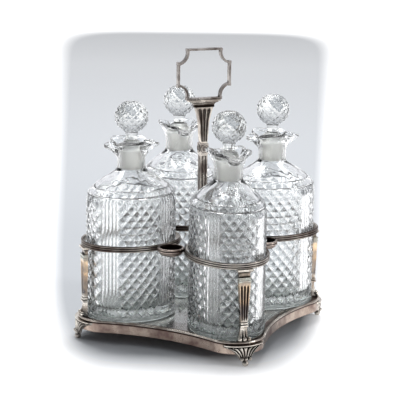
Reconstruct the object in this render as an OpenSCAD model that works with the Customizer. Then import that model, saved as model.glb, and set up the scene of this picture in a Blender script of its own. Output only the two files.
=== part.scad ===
// Four-decanter tantalus: a silver-plated stand with four oval cut-glass decanters and ball stoppers.
// The origin is on the table under the centre post. The tray's sides run along X and Y, and the
// decanters stand on the diagonals: front at -45 degrees, right at 45, rear at 135 and left at 225.

/* [Decanters] */
// Half length of a decanter's oval body, outwards from the stand's centre
dec_a = 55.2; // [50:0.5:60]
// Half width of a decanter's oval body
dec_b = 45.2; // [41:0.5:48]
// Height of the body's straight wall
body_h = 143; // [120:1:170]
// Height of the shoulder between the straight wall and the neck
shoulder_h = 34; // [26:1:42]
// Height of the neck between the shoulder and the lip
neck_h = 22; // [16:1:30]
// Outer radius of the neck
neck_r = 17.2; // [16.5:0.1:19]
// Thickness of the body's glass wall
glass_wall = 5.5; // [4:0.5:8]
// Thickness of the glass bottom
glass_floor = 13; // [8:1:20]
// Half length of the pouring lip
lip_a = 35.4; // [31:0.1:37]
// Thickness of the lip
lip_t = 3.2; // [2.4:0.1:3.6]
// Radius of the lip's roll, on its underside
lip_roll_r = 11; // [10:0.5:13]
// Clear gap between a decanter and what it stands on
seat_gap = 0.3; // [0.2:0.05:0.6]

/* [Stoppers] */
// Radius of the faceted ball across its middle
ball_r = 20.7; // [17:0.1:22]
// Half height of the ball
ball_half_h = 19.6; // [16:0.1:21]
// Radius of the stem between the ball and the ground plug
stem_r = 7.5; // [6:0.5:9]
// Length of the stem
stem_h = 11; // [7:0.5:14]
// Radius of the ground plug at its lower end
plug_r = 12.2; // [10:0.1:12.6]
// Length of the ground plug
plug_h = 24; // [18:1:30]
// Height that the plug's round top stands above the ground part
plug_dome_h = 10; // [8:0.5:14]
// Growth of the ground plug's radius for each millimetre of its length
plug_taper = 0.055; // [0.03:0.005:0.06]
// Radial clearance of the ground plug in the neck
plug_fit = 0.08; // [0.05:0.01:0.1]

/* [Gallery] */
// Height of the rings' top edge above the tray's floor
gallery_h = 95; // [80:1:110]
// Height of the reeded band
band_h = 7.5; // [6:0.5:10]
// Thickness of the reeded band
band_t = 2.6; // [2:0.1:3.5]
// Clear gap between a ring and the decanter's long ends
ring_gap_end = 3.2; // [2:0.1:5]
// Clear gap between a ring and the decanter's sides
ring_gap_side = 0.8; // [0.5:0.1:2]
// Outer radius of a stopper rest
rest_r = 16; // [15:0.5:18]
// Radius of the bore in a stopper rest
rest_bore_r = 13.2; // [12.8:0.1:13.6]
// Depth of the bore in a stopper rest
rest_bore_h = 7.5; // [6:0.5:9]

/* [Tray] */
// How far the tray reaches past a ring at the corner
tray_margin = 3.9; // [3:0.1:8]
// Distance from the centre to the tray's edge at the middle of a side
tray_waist = 107; // [103:1:112]
// Radius of the tray's rounded corners
lobe_r = 35.5; // [33:0.5:40]
// Height of the tray's floor above the table
tray_h = 26.5; // [24:0.5:32]
// Thickness of the tray's sheet
sheet = 1.6; // [1:0.1:2.4]
// Depth of the apron below the tray's floor
apron_d = 13; // [9:0.5:16]
// Radius of the rim's main bead
rim_bead_r = 1.4; // [1.2:0.1:2]

/* [Feet] */
// Width of a foot's fan at its top
fan_w = 48; // [40:1:52]
// Thickness of a foot's fan
fan_t = 3; // [2:0.2:4]
// Height of the proud ribs on a foot's fan
rib_t = 1; // [0.6:0.1:1.4]
// Radius of the ball toe
toe_r = 4.3; // [3.5:0.1:5.5]

/* [Pilasters] */
// Width of the shaft at its top
shaft_w = 12.9; // [11:0.1:15]
// Width of the shaft at its foot
shaft_foot_w = 7.7; // [6.5:0.1:9]
// Depth of the shaft at its top
shaft_d = 5.4; // [4.5:0.1:8]
// Width of the capital
capital_w = 19; // [16:0.5:22]
// Width of the claw base
claw_w = 15.4; // [13:0.2:18]
// Height of the claw base
claw_h = 16.5; // [13:0.5:20]
// Radius of the stud under a pilaster
stud_r = 1.7; // [1.5:0.1:2]

/* [Handle] */
// Height of the post between the tray's floor and the knop
post_h = 193; // [170:1:220]
// Width of the square post
post_w = 9; // [8:0.2:11]
// Radius of the tie rod
rod_r = 2; // [1.6:0.1:2.4]
// Width of the knop
knop_w = 10.5; // [9.5:0.1:14]
// Height of the knop
knop_h = 12.6; // [10:0.2:16]
// Height of the fluted head, without its cap
head_h = 50; // [44:1:60]
// Depth of the fluted head
head_d = 8.5; // [7.5:0.1:10]
// Half width of the head's cap
cap_half_w = 20.5; // [18:0.5:22]
// Half width of the handle loop
loop_half_w = 33.5; // [30:0.5:38]
// Height of the handle loop
loop_h = 62; // [56:1:72]
// Thickness of the loop's strip
strip_t = 2.5; // [2:0.1:3.5]
// Depth of the loop's strip
strip_d = 6.4; // [5:0.2:8]
// Clear gap between the handle loop and a decanter that is lifted past it
loop_gap = 1.5; // [1:0.1:4]

/* [Hidden] */
$fn = 64;

// Corners are numbered anticlockwise from the front, and sides from the front left
FRONT = 0;
RIGHT = 1;
REAR = 2;
LEFT = 3;

// Length of the tools that cut right through a piece
through = 80;

// Plan: the handle loop sets the decanters apart, and the rings and the tray follow them
dec_reach = loop_half_w + loop_gap + dec_a;
ring_a = dec_a + ring_gap_end + band_t;
ring_b = dec_b + ring_gap_side + band_t;
tray_reach = dec_reach + ring_a + tray_margin;

// Tray plan: four lobes joined by hollow sides that run smoothly into them
lobe_c = (tray_reach - lobe_r) / sqrt(2);
waist_in = tray_waist - lobe_c;
hollow_r = (pow(lobe_c, 2) + pow(waist_in, 2) - pow(lobe_r, 2)) / (2 * (lobe_r - waist_in));
hollow_c = tray_waist + hollow_r;
lobe_start = atan2(-(hollow_c - lobe_c), -lobe_c);
lobe_end = -90 - lobe_start;
rim_top = tray_h + 1.64 * rim_bead_r;
rim_drop = 1.5 * rim_bead_r;
rim_inset = 1.45 * rim_bead_r;

// Feet: a fan that an arc draws in at each side, from its top bar down to the ball toe
fan_top = tray_h - rim_drop - 0.2;
fan_toe_h = 8;
fan_bar_h = 2;
fan_cut_out = 4;
fan_cut_z = fan_toe_h - 8.4;
fan_cut_r = fan_top - fan_bar_h - fan_cut_z;

// Rings: an oval of four arcs, whose end radius is a fixed share of its half width
end_share = 0.85;
ring_side_r = side_r(ring_a, ring_b);
ring_top = tray_h + gallery_h;
ring_bottom = ring_top - band_h;
reed_r = band_h / 6;
dec_c = dec_reach / sqrt(2);

// Stopper rests: each lies beside two rings, at the middle of a side
rest_gap = 0.2;
rest_floor_t = 2;
rest_h = rest_bore_h + rest_floor_t;
arc_centre = [dec_c + (ring_side_r - ring_b) / sqrt(2), dec_c - (ring_side_r - ring_b) / sqrt(2)];
rest_reach = arc_centre[1] + sqrt(pow(rest_r + rest_gap + ring_side_r, 2) - pow(arc_centre[0], 2));
rest_lug_turn = atan2(rest_reach - arc_centre[1], arc_centre[0]);

// Pilasters: a flat back just clear of the decanter, a claw on the rim and a capital under the ring
pilaster_back = dec_reach + dec_a + 2 * seat_gap;
shaft_foot_d = 0.92 * shaft_d;
neck_block_h = 5.5;
neck_recess_h = 5;
capital_h = 4.5;
collar_h = 6;
shaft_z = rim_top + claw_h + collar_h;
shaft_h = ring_bottom - capital_h - neck_recess_h - neck_block_h - shaft_z;
stud_x = 2.6;
nut_h = 2.6;
nut_w = 6;
stud_fit = 0.15;

// Handle: post, knop, head and loop stand on each other
plinth_h = 6;
plinth_w = post_w + 8;
knop_z = tray_h + post_h;
head_z = knop_z + knop_h;
cap_t = 3;
loop_z = head_z + head_h + cap_t;
loop_corner_x = loop_half_w + 1.5;
loop_corner_r = 13;
loop_lead = 4.5;
rod_fit = 0.15;
rod_up = 12;
washer_t = 1.2;
washer_r = 8;
wing_nut_h = 5;
rod_down = sheet + washer_t + wing_nut_h + 2;

// Decanters: heights from the table
dec_z = tray_h + seat_gap;
shoulder_z = dec_z + body_h;
neck_z = shoulder_z + shoulder_h;
lip_z = neck_z + neck_h;
lip_roll_x = neck_r + lip_roll_r;
lip_top = lip_z + lip_roll_r + lip_t;
oval_steps = 36;
shoulder_steps = 6;
shoulder_step = 0.3;

// Stoppers: the ground plug ends just under the lip's roll
plug_top_r = plug_r + plug_taper * plug_h;
plug_z = lip_z + 4 - plug_h;
stem_z = plug_z + plug_h + plug_dome_h;
ball_z = stem_z + stem_h + ball_half_h * sin(66);
ball_sides = 14;

// Radius of the long side arcs of an oval with half length a and half width b
function side_r(a, b) = (a * a - 2 * a * end_share * b + b * b) / (2 * b * (1 - end_share));

// Angle at which an oval's end arc meets its side arc
function meet_angle(a, b) = atan2(side_r(a, b) - b, a - end_share * b);

// Point of an oval where its outline faces the direction t
function oval_point(a, b, t) =
    let (end_r = end_share * b, long_r = side_r(a, b), meet = meet_angle(a, b))
    abs(sin(t)) * cos(meet) < abs(cos(t)) * sin(meet)
        ? [sign(cos(t)) * (a - end_r) + end_r * cos(t), end_r * sin(t)]
        : [long_r * cos(t), long_r * sin(t) - sign(sin(t)) * (long_r - b)];

// Half length or width of the shoulder at a share t of its height, round at the edge
function shoulder_half(full, t) = neck_r + (full - neck_r) * (1 - t * t);

// Places its children at a corner, with X outwards along the diagonal
module at_corner(k, reach) {
    rotate([0, 0, 90 * k - 45]) translate([reach, 0, 0]) children();
}

// Skins equal rings of points into one closed solid, each ring a list of [x, y, z]
module skin_rings(rings) {
    n = len(rings[0]);
    last = len(rings) - 1;
    polyhedron(
        points = [for (ring = rings) each ring],
        faces = concat(
            [[for (i = [0:n - 1]) i]],
            [for (j = [0:last - 1]) for (i = [0:n - 1])
                [j * n + i, (j + 1) * n + (i + 1) % n, j * n + (i + 1) % n]],
            [for (j = [0:last - 1]) for (i = [0:n - 1])
                [j * n + i, (j + 1) * n + i, (j + 1) * n + (i + 1) % n]],
            [[for (i = [0:n - 1]) last * n + n - 1 - i]]
        )
    );
}

// Oval plan made of four arcs
module oval(a, b) {
    end_r = end_share * b;
    long_r = side_r(a, b);
    half_straight = a - end_r + end_r * cos(meet_angle(a, b));
    intersection() {
        translate([0, b - long_r]) circle(r = long_r);
        translate([0, long_r - b]) circle(r = long_r);
        translate([-half_straight, -b]) square([2 * half_straight, 2 * b]);
    }
    for (s = [-1, 1]) translate([s * (a - end_r), 0]) circle(r = end_r);
}

// Carries a profile round an oval; the profile's X points outwards from the oval's line
module sweep_oval(a, b) {
    end_r = end_share * b;
    long_r = side_r(a, b);
    meet = meet_angle(a, b);
    for (s = [0, 1]) rotate([0, 0, 180 * s]) {
        translate([a - end_r, 0, 0]) rotate([0, 0, -meet])
            rotate_extrude(angle = 2 * meet) translate([end_r, 0]) children();
        translate([0, b - long_r, 0]) rotate([0, 0, meet])
            rotate_extrude(angle = 180 - 2 * meet) translate([long_r, 0]) children();
    }
}

// Solid cone or rod between two points
module rod_between(p, q, r1, r2) {
    d = q - p;
    translate(p) rotate([0, acos(d[2] / norm(d)), atan2(d[1], d[0])]) cylinder(h = norm(d), r1 = r1, r2 = r2);
}

// Tapering block on the plane z = 0 with an upright back at x = 0: w is across and d outwards
module taper_block(h, w, top_w, d, top_d) {
    intersection() {
        rotate([90, 0, 90]) linear_extrude(through, center = true)
            polygon([[-w / 2, 0], [w / 2, 0], [top_w / 2, h], [-top_w / 2, h]]);
        rotate([90, 0, 0]) linear_extrude(through, center = true)
            polygon([[0, 0], [d, 0], [top_d, h], [0, h]]);
    }
}

// Plan of the tray, grown outwards by a given amount
module tray_plan(grow = 0) {
    difference() {
        union() {
            for (k = [0:3]) rotate(90 * k) translate([lobe_c, -lobe_c]) circle(r = lobe_r + grow);
            polygon([for (k = [0:3]) for (t = [lobe_start, lobe_end]) let (
                x = lobe_c + (lobe_r + grow) * cos(t),
                y = -lobe_c + (lobe_r + grow) * sin(t)
            ) [x * cos(90 * k) - y * sin(90 * k), x * sin(90 * k) + y * cos(90 * k)]]);
        }
        for (k = [0:3]) rotate(90 * k) translate([0, -hollow_c]) circle(r = hollow_r - grow);
    }
}

// Upright band along the tray's edge, between two distances outwards from it
module edge_band(inside, outside, low, high) {
    translate([0, 0, low]) linear_extrude(high - low) difference() {
        tray_plan(outside);
        tray_plan(inside);
    }
}

// Sheet tray with a plain apron, bored for the tie rod and the pilasters' studs
module base_tray() {
    color("rosybrown") difference() {
        union() {
            translate([0, 0, tray_h - sheet]) linear_extrude(sheet) tray_plan();
            edge_band(-sheet, 0, tray_h - apron_d, tray_h);
        }
        cylinder(h = through, r = rod_r + rod_fit);
        for (k = [FRONT:LEFT]) at_corner(k, pilaster_back + stud_x)
            cylinder(h = through, r = stud_r + stud_fit);
    }
}

// Reeded wire round the tray's top edge: a main bead, a small one inside it and one below it
module tray_rim() {
    color("gainsboro") {
        edge_band(-1.14 * rim_bead_r, 0.86 * rim_bead_r, tray_h, tray_h + rim_bead_r);
        edge_band(-0.84 * rim_bead_r, 0.56 * rim_bead_r, tray_h + rim_bead_r, rim_top);
        edge_band(-rim_inset, -1.14 * rim_bead_r, tray_h, tray_h + 0.8 * rim_bead_r);
        edge_band(0, 0.86 * rim_bead_r, tray_h - rim_drop, tray_h);
    }
}

// Half width of the foot's fan at a height, drawn in by an arc at each side
function fan_half(z) = fan_w / 2 + fan_cut_out - sqrt(pow(fan_cut_r, 2) - pow(z - fan_cut_z, 2));

// Outline of the foot's fan, across and up
module fan_outline() {
    difference() {
        translate([-fan_w / 2, fan_toe_h]) square([fan_w, fan_top - fan_toe_h]);
        for (s = [-1, 1]) translate([s * (fan_w / 2 + fan_cut_out), fan_cut_z]) circle(r = fan_cut_r);
    }
}

// One rib of the fan, at a share of the fan's half width
module fan_rib(share) {
    half_rib = 0.55;
    steps = 6;
    low = fan_toe_h + 1;
    rise = (fan_top - fan_bar_h - 0.5 - low) / steps;
    zs = [for (i = [0:steps]) low + rise * i];
    polygon(concat(
        [for (i = [0:steps]) [share * fan_half(zs[i]) - half_rib, zs[i]]],
        [for (i = [steps:-1:0]) [share * fan_half(zs[i]) + half_rib, zs[i]]]
    ));
}

// Part of an upright shell round a lobe's axis, between two distances outside the apron
module lobe_shell(inside, outside) {
    intersection() {
        translate([-lobe_r, 0, 0]) difference() {
            cylinder(h = tray_h, r = lobe_r + outside);
            translate([0, 0, -1]) cylinder(h = tray_h + 2, r = lobe_r + inside);
        }
        rotate([90, 0, 90]) linear_extrude(through, center = true) children();
    }
}

// Cast foot soldered to the apron: a fan with ribs, three beads and a ball toe
module foot(k) {
    toe_x = fan_t / 2 + 0.5;
    bead_r = 2.2;
    bead_pitch = 4.4;
    ribs = 3;
    color("silver") at_corner(k, tray_reach) {
        lobe_shell(0, fan_t) fan_outline();
        for (i = [-ribs:ribs]) lobe_shell(fan_t - 0.5, fan_t + rib_t) fan_rib(i * 0.27);
        lobe_shell(fan_t - 0.5, fan_t + rib_t + 0.4) translate([-fan_w / 2, fan_top - fan_bar_h])
            square([fan_w, fan_bar_h]);
        for (i = [-1:1]) translate([fan_t / 2 + 0.5, i * bead_pitch, fan_toe_h]) sphere(r = bead_r);
        difference() {
            union() {
                translate([toe_x, 0, toe_r - 0.5]) sphere(r = toe_r);
                translate([toe_x, 0, toe_r]) cylinder(h = fan_toe_h - toe_r + 2, r = 0.6 * toe_r);
            }
            translate([0, 0, -toe_r]) cylinder(h = toe_r, r = 2 * toe_r);
        }
    }
}

// Grooves with round tops that run up a tapering face
module shaft_flutes() {
    low = 3;
    high = shaft_h - 4;
    low_r = 0.75;
    high_r = 1.25;
    arch_r = high_r + 0.05;
    for (i = [-1:1]) {
        p = [shaft_foot_d, i * shaft_foot_w * 0.29, low];
        q = [shaft_d, i * shaft_w * 0.29, high];
        rod_between(p, q, low_r, high_r);
        translate(q) sphere(r = arch_r);
    }
    for (s = [-1, 1]) {
        p = [shaft_foot_d * 0.55, s * shaft_foot_w / 2, low];
        q = [shaft_d * 0.55, s * shaft_w / 2, high];
        rod_between(p, q, low_r, high_r);
    }
}

// Cast pilaster: claw base on the rim, collar, fluted shaft, neck block, capital and a stud below
module pilaster(k) {
    top_d = shaft_d;
    pad_d = tray_reach - rim_inset - 0.1 - pilaster_back;
    pad_w = 0.72 * claw_w;
    color("silver") at_corner(k, pilaster_back) {
        // Pad inside the rim, and the stud through the tray
        translate([0, -pad_w / 2, tray_h]) cube([pad_d, pad_w, rim_top - tray_h]);
        translate([stud_x, 0, tray_h - sheet - nut_h - 1]) cylinder(h = sheet + nut_h + 2, r = stud_r);
        // Claw base: a drawn-in block, three legs and three toes
        translate([0, 0, rim_top]) {
            taper_block(claw_h, claw_w * 0.8, shaft_foot_w, 7, shaft_foot_d);
            for (i = [-1:1]) {
                toe = [7.2 - abs(i), i * claw_w * 0.34, 2.6];
                translate(toe) sphere(r = 2.6);
                rod_between(toe, [shaft_foot_d - 1, i * shaft_foot_w * 0.3, claw_h], 2.1, 1.4);
            }
        }
        // Collar of two fillets
        translate([0, 0, rim_top + claw_h]) {
            translate([0, -shaft_foot_w / 2 - 0.8, 0]) cube([shaft_foot_d + 1.6, shaft_foot_w + 1.6, collar_h * 0.4]);
            translate([0, -shaft_foot_w / 2, 0]) cube([shaft_foot_d + 0.8, shaft_foot_w, collar_h]);
        }
        // Tapering shaft with its flutes
        translate([0, 0, shaft_z]) difference() {
            taper_block(shaft_h, shaft_foot_w, shaft_w, shaft_foot_d, shaft_d);
            shaft_flutes();
        }
        // Neck block, recess and capital
        translate([0, -shaft_w / 2 - 0.4, shaft_z + shaft_h])
            cube([top_d + 0.8, shaft_w + 0.8, neck_block_h]);
        translate([0, -shaft_w * 0.41, shaft_z + shaft_h + neck_block_h])
            cube([top_d - 1.2, shaft_w * 0.82, neck_recess_h]);
        difference() {
            translate([0, -capital_w / 2, ring_bottom - capital_h]) cube([top_d + 1, capital_w, capital_h]);
            for (s = [-1, 1]) translate([0, s * capital_w / 2, ring_bottom - capital_h])
                rotate([0, 90, 0]) cylinder(h = through, r = capital_h - 1.2, center = true);
            translate([top_d + 1, 0, ring_bottom - capital_h]) rotate([90, 0, 0])
                cylinder(h = through, r = capital_h - 1.2, center = true);
        }
    }
}

// Four hexagon nuts under the tray, on the pilasters' studs
module pilaster_nuts() {
    color("darkgray") for (k = [FRONT:LEFT]) at_corner(k, pilaster_back + stud_x)
        translate([0, 0, tray_h - sheet - nut_h]) difference() {
            cylinder(h = nut_h, r = nut_w / sqrt(3), $fn = 6);
            translate([0, 0, -1]) cylinder(h = nut_h + 2, r = stud_r + stud_fit / 2);
        }
}

// Oval gallery ring: a band with three round reeds
module ring(k) {
    color("silver") at_corner(k, dec_reach) translate([0, 0, ring_bottom]) sweep_oval(ring_a, ring_b) {
        translate([-band_t, 0]) square([band_t - 0.6 * reed_r, band_h]);
        for (i = [0:2]) translate([-reed_r, (2 * i + 1) * reed_r]) circle(r = reed_r);
    }
}

// Small reeded cup that holds a stopper, with a solder lug to the ring at each side
module stopper_rest(k) {
    bowl_r = rest_h * 0.6;
    color("silver") rotate([0, 0, 90 * k]) {
        translate([0, -rest_reach, ring_top - rest_h]) difference() {
            union() {
                rotate_extrude() {
                    square([rest_r - bowl_r, rest_h]);
                    intersection() {
                        translate([rest_r - 0.8 - bowl_r, bowl_r]) circle(r = bowl_r);
                        square([rest_r, bowl_r]);
                    }
                    translate([0, bowl_r]) square([rest_r - 0.8, rest_h - bowl_r]);
                    for (i = [1, 3]) translate([rest_r - reed_r, rest_h - i * reed_r]) circle(r = reed_r);
                }
            }
            translate([0, 0, rest_floor_t]) cylinder(h = rest_h, r = rest_bore_r);
        }
        for (s = [0, 1]) mirror([s, 0, 0]) difference() {
            translate([0, -rest_reach, ring_bottom + 1]) rotate([0, 0, rest_lug_turn])
                translate([rest_r - 2, -2.5, 0]) cube([4, 5, band_h - 2]);
            translate([0, -rest_reach, 0]) cylinder(h = ring_top, r = rest_r - 0.9);
            at_corner(FRONT, dec_reach) linear_extrude(ring_top) oval(ring_a, ring_b);
        }
    }
}

// Stepped square seat under the post
module post_plinth() {
    color("silver") rotate([0, 0, 45]) translate([0, 0, tray_h]) difference() {
        union() {
            translate([-plinth_w / 2, -plinth_w / 2, 0]) cube([plinth_w, plinth_w, plinth_h / 2]);
            translate([-plinth_w / 2 + 2, -plinth_w / 2 + 2, 0]) cube([plinth_w - 4, plinth_w - 4, plinth_h]);
        }
        translate([0, 0, -1]) cylinder(h = plinth_h + 2, r = rod_r + rod_fit);
    }
}

// Square tube with two flutes on each face, its faces towards the decanters
module centre_post() {
    color("silver") rotate([0, 0, 45]) translate([0, 0, tray_h + plinth_h]) difference() {
        translate([-post_w / 2, -post_w / 2, 0]) cube([post_w, post_w, post_h - plinth_h]);
        translate([0, 0, -1]) cylinder(h = post_h, r = rod_r + rod_fit);
        for (k = [0:3]) rotate([0, 0, 90 * k]) for (s = [-1, 1])
            translate([post_w / 2 + 0.3, s * post_w * 0.2, 3]) cylinder(h = post_h - plinth_h - 6, r = 1.2);
    }
}

// Rod that ties the tray, the post and the handle's head together
module tie_rod() {
    rod_h = rod_down + post_h + knop_h + rod_up;
    color("darkgray") translate([0, 0, tray_h - rod_down]) cylinder(h = rod_h, r = rod_r);
}

// Washer under the tray
module rod_washer() {
    color("darkgray") translate([0, 0, tray_h - sheet - washer_t]) difference() {
        cylinder(h = washer_t, r = washer_r);
        translate([0, 0, -1]) cylinder(h = washer_t + 2, r = rod_r + rod_fit);
    }
}

// Wing nut under the washer
module wing_nut() {
    wing_w = 9;
    color("darkgray") translate([0, 0, tray_h - sheet - washer_t - wing_nut_h]) difference() {
        union() {
            cylinder(h = wing_nut_h, r = 2 * rod_r);
            for (s = [-1, 1]) rotate([90, 0, 0]) translate([s * wing_w * 0.7, wing_nut_h * 0.5, -0.8])
                linear_extrude(1.6) {
                    circle(r = wing_nut_h * 0.5);
                    translate([min(0, -s * wing_w * 0.5), -wing_nut_h * 0.4])
                        square([wing_w * 0.5, wing_nut_h * 0.8]);
                }
        }
        translate([0, 0, -1]) cylinder(h = wing_nut_h + 2, r = rod_r + rod_fit / 2);
    }
}

// Square block with a round boss on each face
module knop() {
    boss_r = 0.4 * knop_w;
    color("silver") rotate([0, 0, 45]) translate([0, 0, knop_z]) difference() {
        union() {
            translate([-knop_w / 2, -knop_w / 2, 0]) cube([knop_w, knop_w, knop_h]);
            for (k = [0:3]) rotate([0, 0, 90 * k]) translate([knop_w / 2, 0, knop_h / 2]) rotate([0, 90, 0]) {
                difference() {
                    translate([0, 0, -1]) cylinder(h = 1.9, r = boss_r);
                    translate([0, 0, 0.2]) cylinder(h = 2, r = boss_r - 0.9);
                }
                intersection() {
                    translate([0, 0, 0.9 - boss_r * 0.6]) sphere(r = boss_r * 0.6);
                    translate([0, 0, -1]) cylinder(h = 3, r = boss_r);
                }
            }
        }
        translate([0, 0, -1]) cylinder(h = knop_h + 2, r = rod_r + rod_fit);
    }
}

// Places an upright outline in the loop's plane, which runs through the left and right corners
module in_loop_plane(depth) {
    rotate([0, 0, 45]) rotate([90, 0, 0]) linear_extrude(depth, center = true) children();
}

// Flat trumpet with three flutes on each broad face, a cove and a moulded cap
module handle_head() {
    foot_half = 4;
    flare_z = 13;
    flare_half = 5.3;
    flare_r = 85;
    flute_r = 1.9;
    flare_top = flare_half + flare_r - sqrt(flare_r * flare_r - pow(head_h - flare_z, 2));
    color("silver") translate([0, 0, head_z]) difference() {
        union() {
            in_loop_plane(head_d) {
                polygon([[-foot_half, 0], [foot_half, 0], [flare_half, flare_z], [-flare_half, flare_z]]);
                difference() {
                    translate([-flare_top, flare_z]) square([2 * flare_top, head_h - flare_z]);
                    for (s = [-1, 1]) translate([s * (flare_half + flare_r), flare_z])
                        circle(r = flare_r, $fn = 240);
                }
            }
            in_loop_plane(head_d + 0.6) translate([-cap_half_w + 3, head_h])
                square([2 * cap_half_w - 6, cap_t]);
            in_loop_plane(head_d + 1.4) translate([-cap_half_w, head_h + cap_t / 2])
                square([2 * cap_half_w, cap_t / 2]);
        }
        translate([0, 0, -1]) cylinder(h = rod_up + 1.2, r = rod_r + rod_fit);
        rotate([0, 0, 45]) for (s = [-1, 1]) {
            for (i = [-1:1]) {
                p = [i * 2.2, s * (head_d / 2 + 0.2), 3];
                q = [i * 0.55 * flare_top, s * (head_d / 2 + 0.6), head_h - 10];
                rod_between(p, q, 0.9, flute_r - 0.1);
                translate(q) sphere(r = flute_r);
            }
            translate([0, s * (head_d / 2 + 1), head_h - 3.5]) rotate([0, 90, 0])
                cylinder(h = through, r = 2.4, center = true);
        }
    }
}

// Outline of the loop: a rectangle with incurved corners, drawn in by a given amount
module loop_outline(inset) {
    cut_r = loop_corner_r + inset;
    difference() {
        translate([-loop_half_w + inset, inset]) square([2 * (loop_half_w - inset), loop_h - 2 * inset]);
        for (s = [-1, 1]) for (z = [loop_lead, loop_h - loop_lead]) {
            translate([s * loop_corner_x, z]) circle(r = cut_r);
            translate([s * loop_corner_x, z + sign(z - loop_h / 2) * loop_h / 2])
                square([2 * cut_r, loop_h], center = true);
        }
    }
}

// Flat strip bent to the loop, with small square ears at its corners
module handle_loop() {
    ear = strip_t + 0.8;
    bar_x = loop_corner_x - loop_corner_r;
    bar_z = loop_lead + loop_corner_r;
    color("silver") translate([0, 0, loop_z]) in_loop_plane(strip_d) {
        difference() {
            loop_outline(0);
            loop_outline(strip_t);
        }
        for (s = [-1, 1]) {
            for (z = [ear / 2, loop_h - ear / 2]) translate([s * (bar_x - ear / 2 + 0.5), z])
                square(ear, center = true);
            for (z = [bar_z, loop_h - bar_z]) translate([s * (loop_half_w - ear / 2 + 0.3), z])
                square(ear, center = true);
        }
    }
}

// One ring of points of the shoulder, drawn in by the wall's thickness
function shoulder_ring(t, wall, steps) =
    let (a = shoulder_half(dec_a, t) - wall, b = shoulder_half(dec_b, t) - wall)
    [for (i = [0:steps - 1]) let (p = oval_point(a, b, 360 * i / steps)) [p[0], p[1], shoulder_h * t]];

// Plan of the pouring lip: a spout at each end and four round lobes between them
module lip_plan() {
    spout_r = 9.5;
    lobe = [12, 14.6];
    circle(r = neck_r + 4);
    for (s = [-1, 1]) translate([s * (lip_a - spout_r), 0]) circle(r = spout_r);
    for (x = [-1, 1]) for (y = [-1, 1]) translate([x * lobe[0], y * lobe[1]]) circle(r = 10);
}

// Cut-glass bottle: straight oval body, round shoulder, neck and a rolled lip with lobes
module decanter(k) {
    inner_steps = 24;
    inner_top = 0.8;
    color("lightblue", 0.5) at_corner(k, dec_reach) difference() {
        union() {
            translate([0, 0, dec_z]) linear_extrude(body_h) oval(dec_a, dec_b);
            translate([0, 0, shoulder_z]) skin_rings([for (j = [0:shoulder_steps])
                shoulder_ring(j / shoulder_steps, shoulder_step, oval_steps)]);
            translate([0, 0, shoulder_z]) cylinder(h = shoulder_h + neck_h, r = neck_r);
            intersection() {
                rotate_extrude() intersection() {
                    difference() {
                        translate([lip_roll_x, lip_z]) circle(r = lip_roll_r + lip_t);
                        translate([lip_roll_x, lip_z]) circle(r = lip_roll_r);
                    }
                    translate([0, lip_z]) square([lip_a + 5, lip_roll_r + lip_t]);
                }
                translate([0, 0, lip_z]) linear_extrude(lip_roll_r + lip_t) lip_plan();
            }
        }
        // Hollow body, then the neck's bore with the plug's taper
        translate([0, 0, dec_z + glass_floor]) linear_extrude(body_h - glass_floor)
            oval(dec_a - glass_wall, dec_b - glass_wall);
        translate([0, 0, shoulder_z - 0.01]) skin_rings([for (j = [0:3])
            shoulder_ring(inner_top * j / 3, glass_wall + 0.1, inner_steps)]);
        translate([0, 0, shoulder_z]) cylinder(h = plug_z - shoulder_z, r = plug_r + plug_fit);
        translate([0, 0, plug_z]) cylinder(h = plug_h, r1 = plug_r + plug_fit, r2 = plug_top_r + plug_fit);
        translate([0, 0, plug_z + plug_h - 0.01]) cylinder(h = plug_dome_h, r = plug_top_r + plug_fit);
    }
}

// Faceted ball on a stem, with a domed ground plug that fits the neck
module stopper(k) {
    lats = [-66, -44, -22, 0, 22, 44, 66];
    color("lightblue", 0.6) at_corner(k, dec_reach) {
        translate([0, 0, ball_z]) skin_rings([for (j = [0:len(lats) - 1])
            let (r = ball_r * cos(lats[j]), z = ball_half_h * sin(lats[j]))
            [for (i = [0:ball_sides - 1]) let (t = 360 * (i + (j % 2) / 2) / ball_sides)
                [r * cos(t), r * sin(t), z]]]);
        translate([0, 0, stem_z - plug_dome_h / 2]) cylinder(h = stem_h + plug_dome_h / 2, r = stem_r);
        translate([0, 0, plug_z]) cylinder(h = plug_h, r1 = plug_r, r2 = plug_top_r);
        translate([0, 0, plug_z + plug_h]) cylinder(h = plug_dome_h, r1 = plug_top_r, r2 = stem_r);
    }
}

base_tray();
tray_rim();
foot(FRONT);  // foot_front
foot(RIGHT);  // foot_right
foot(REAR);  // foot_rear
foot(LEFT);  // foot_left
pilaster(FRONT);  // pilaster_front
pilaster(RIGHT);  // pilaster_right
pilaster(REAR);  // pilaster_rear
pilaster(LEFT);  // pilaster_left
pilaster_nuts();
ring(FRONT);  // ring_front
ring(RIGHT);  // ring_right
ring(REAR);  // ring_rear
ring(LEFT);  // ring_left
stopper_rest(0);  // rest_front_left
stopper_rest(1);  // rest_front_right
stopper_rest(2);  // rest_rear_right
stopper_rest(3);  // rest_rear_left
post_plinth();
centre_post();
tie_rod();
rod_washer();
wing_nut();
knop();
handle_head();
handle_loop();
decanter(FRONT);  // decanter_front
decanter(RIGHT);  // decanter_right
decanter(REAR);  // decanter_rear
decanter(LEFT);  // decanter_left
stopper(FRONT);  // stopper_front
stopper(RIGHT);  // stopper_right
stopper(REAR);  // stopper_rear
stopper(LEFT);  // stopper_left
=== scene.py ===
"""Looks of the four-decanter tantalus, in metres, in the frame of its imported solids."""
import math

import bmesh
import bpy
import numpy as np
from mathutils import Matrix


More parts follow.
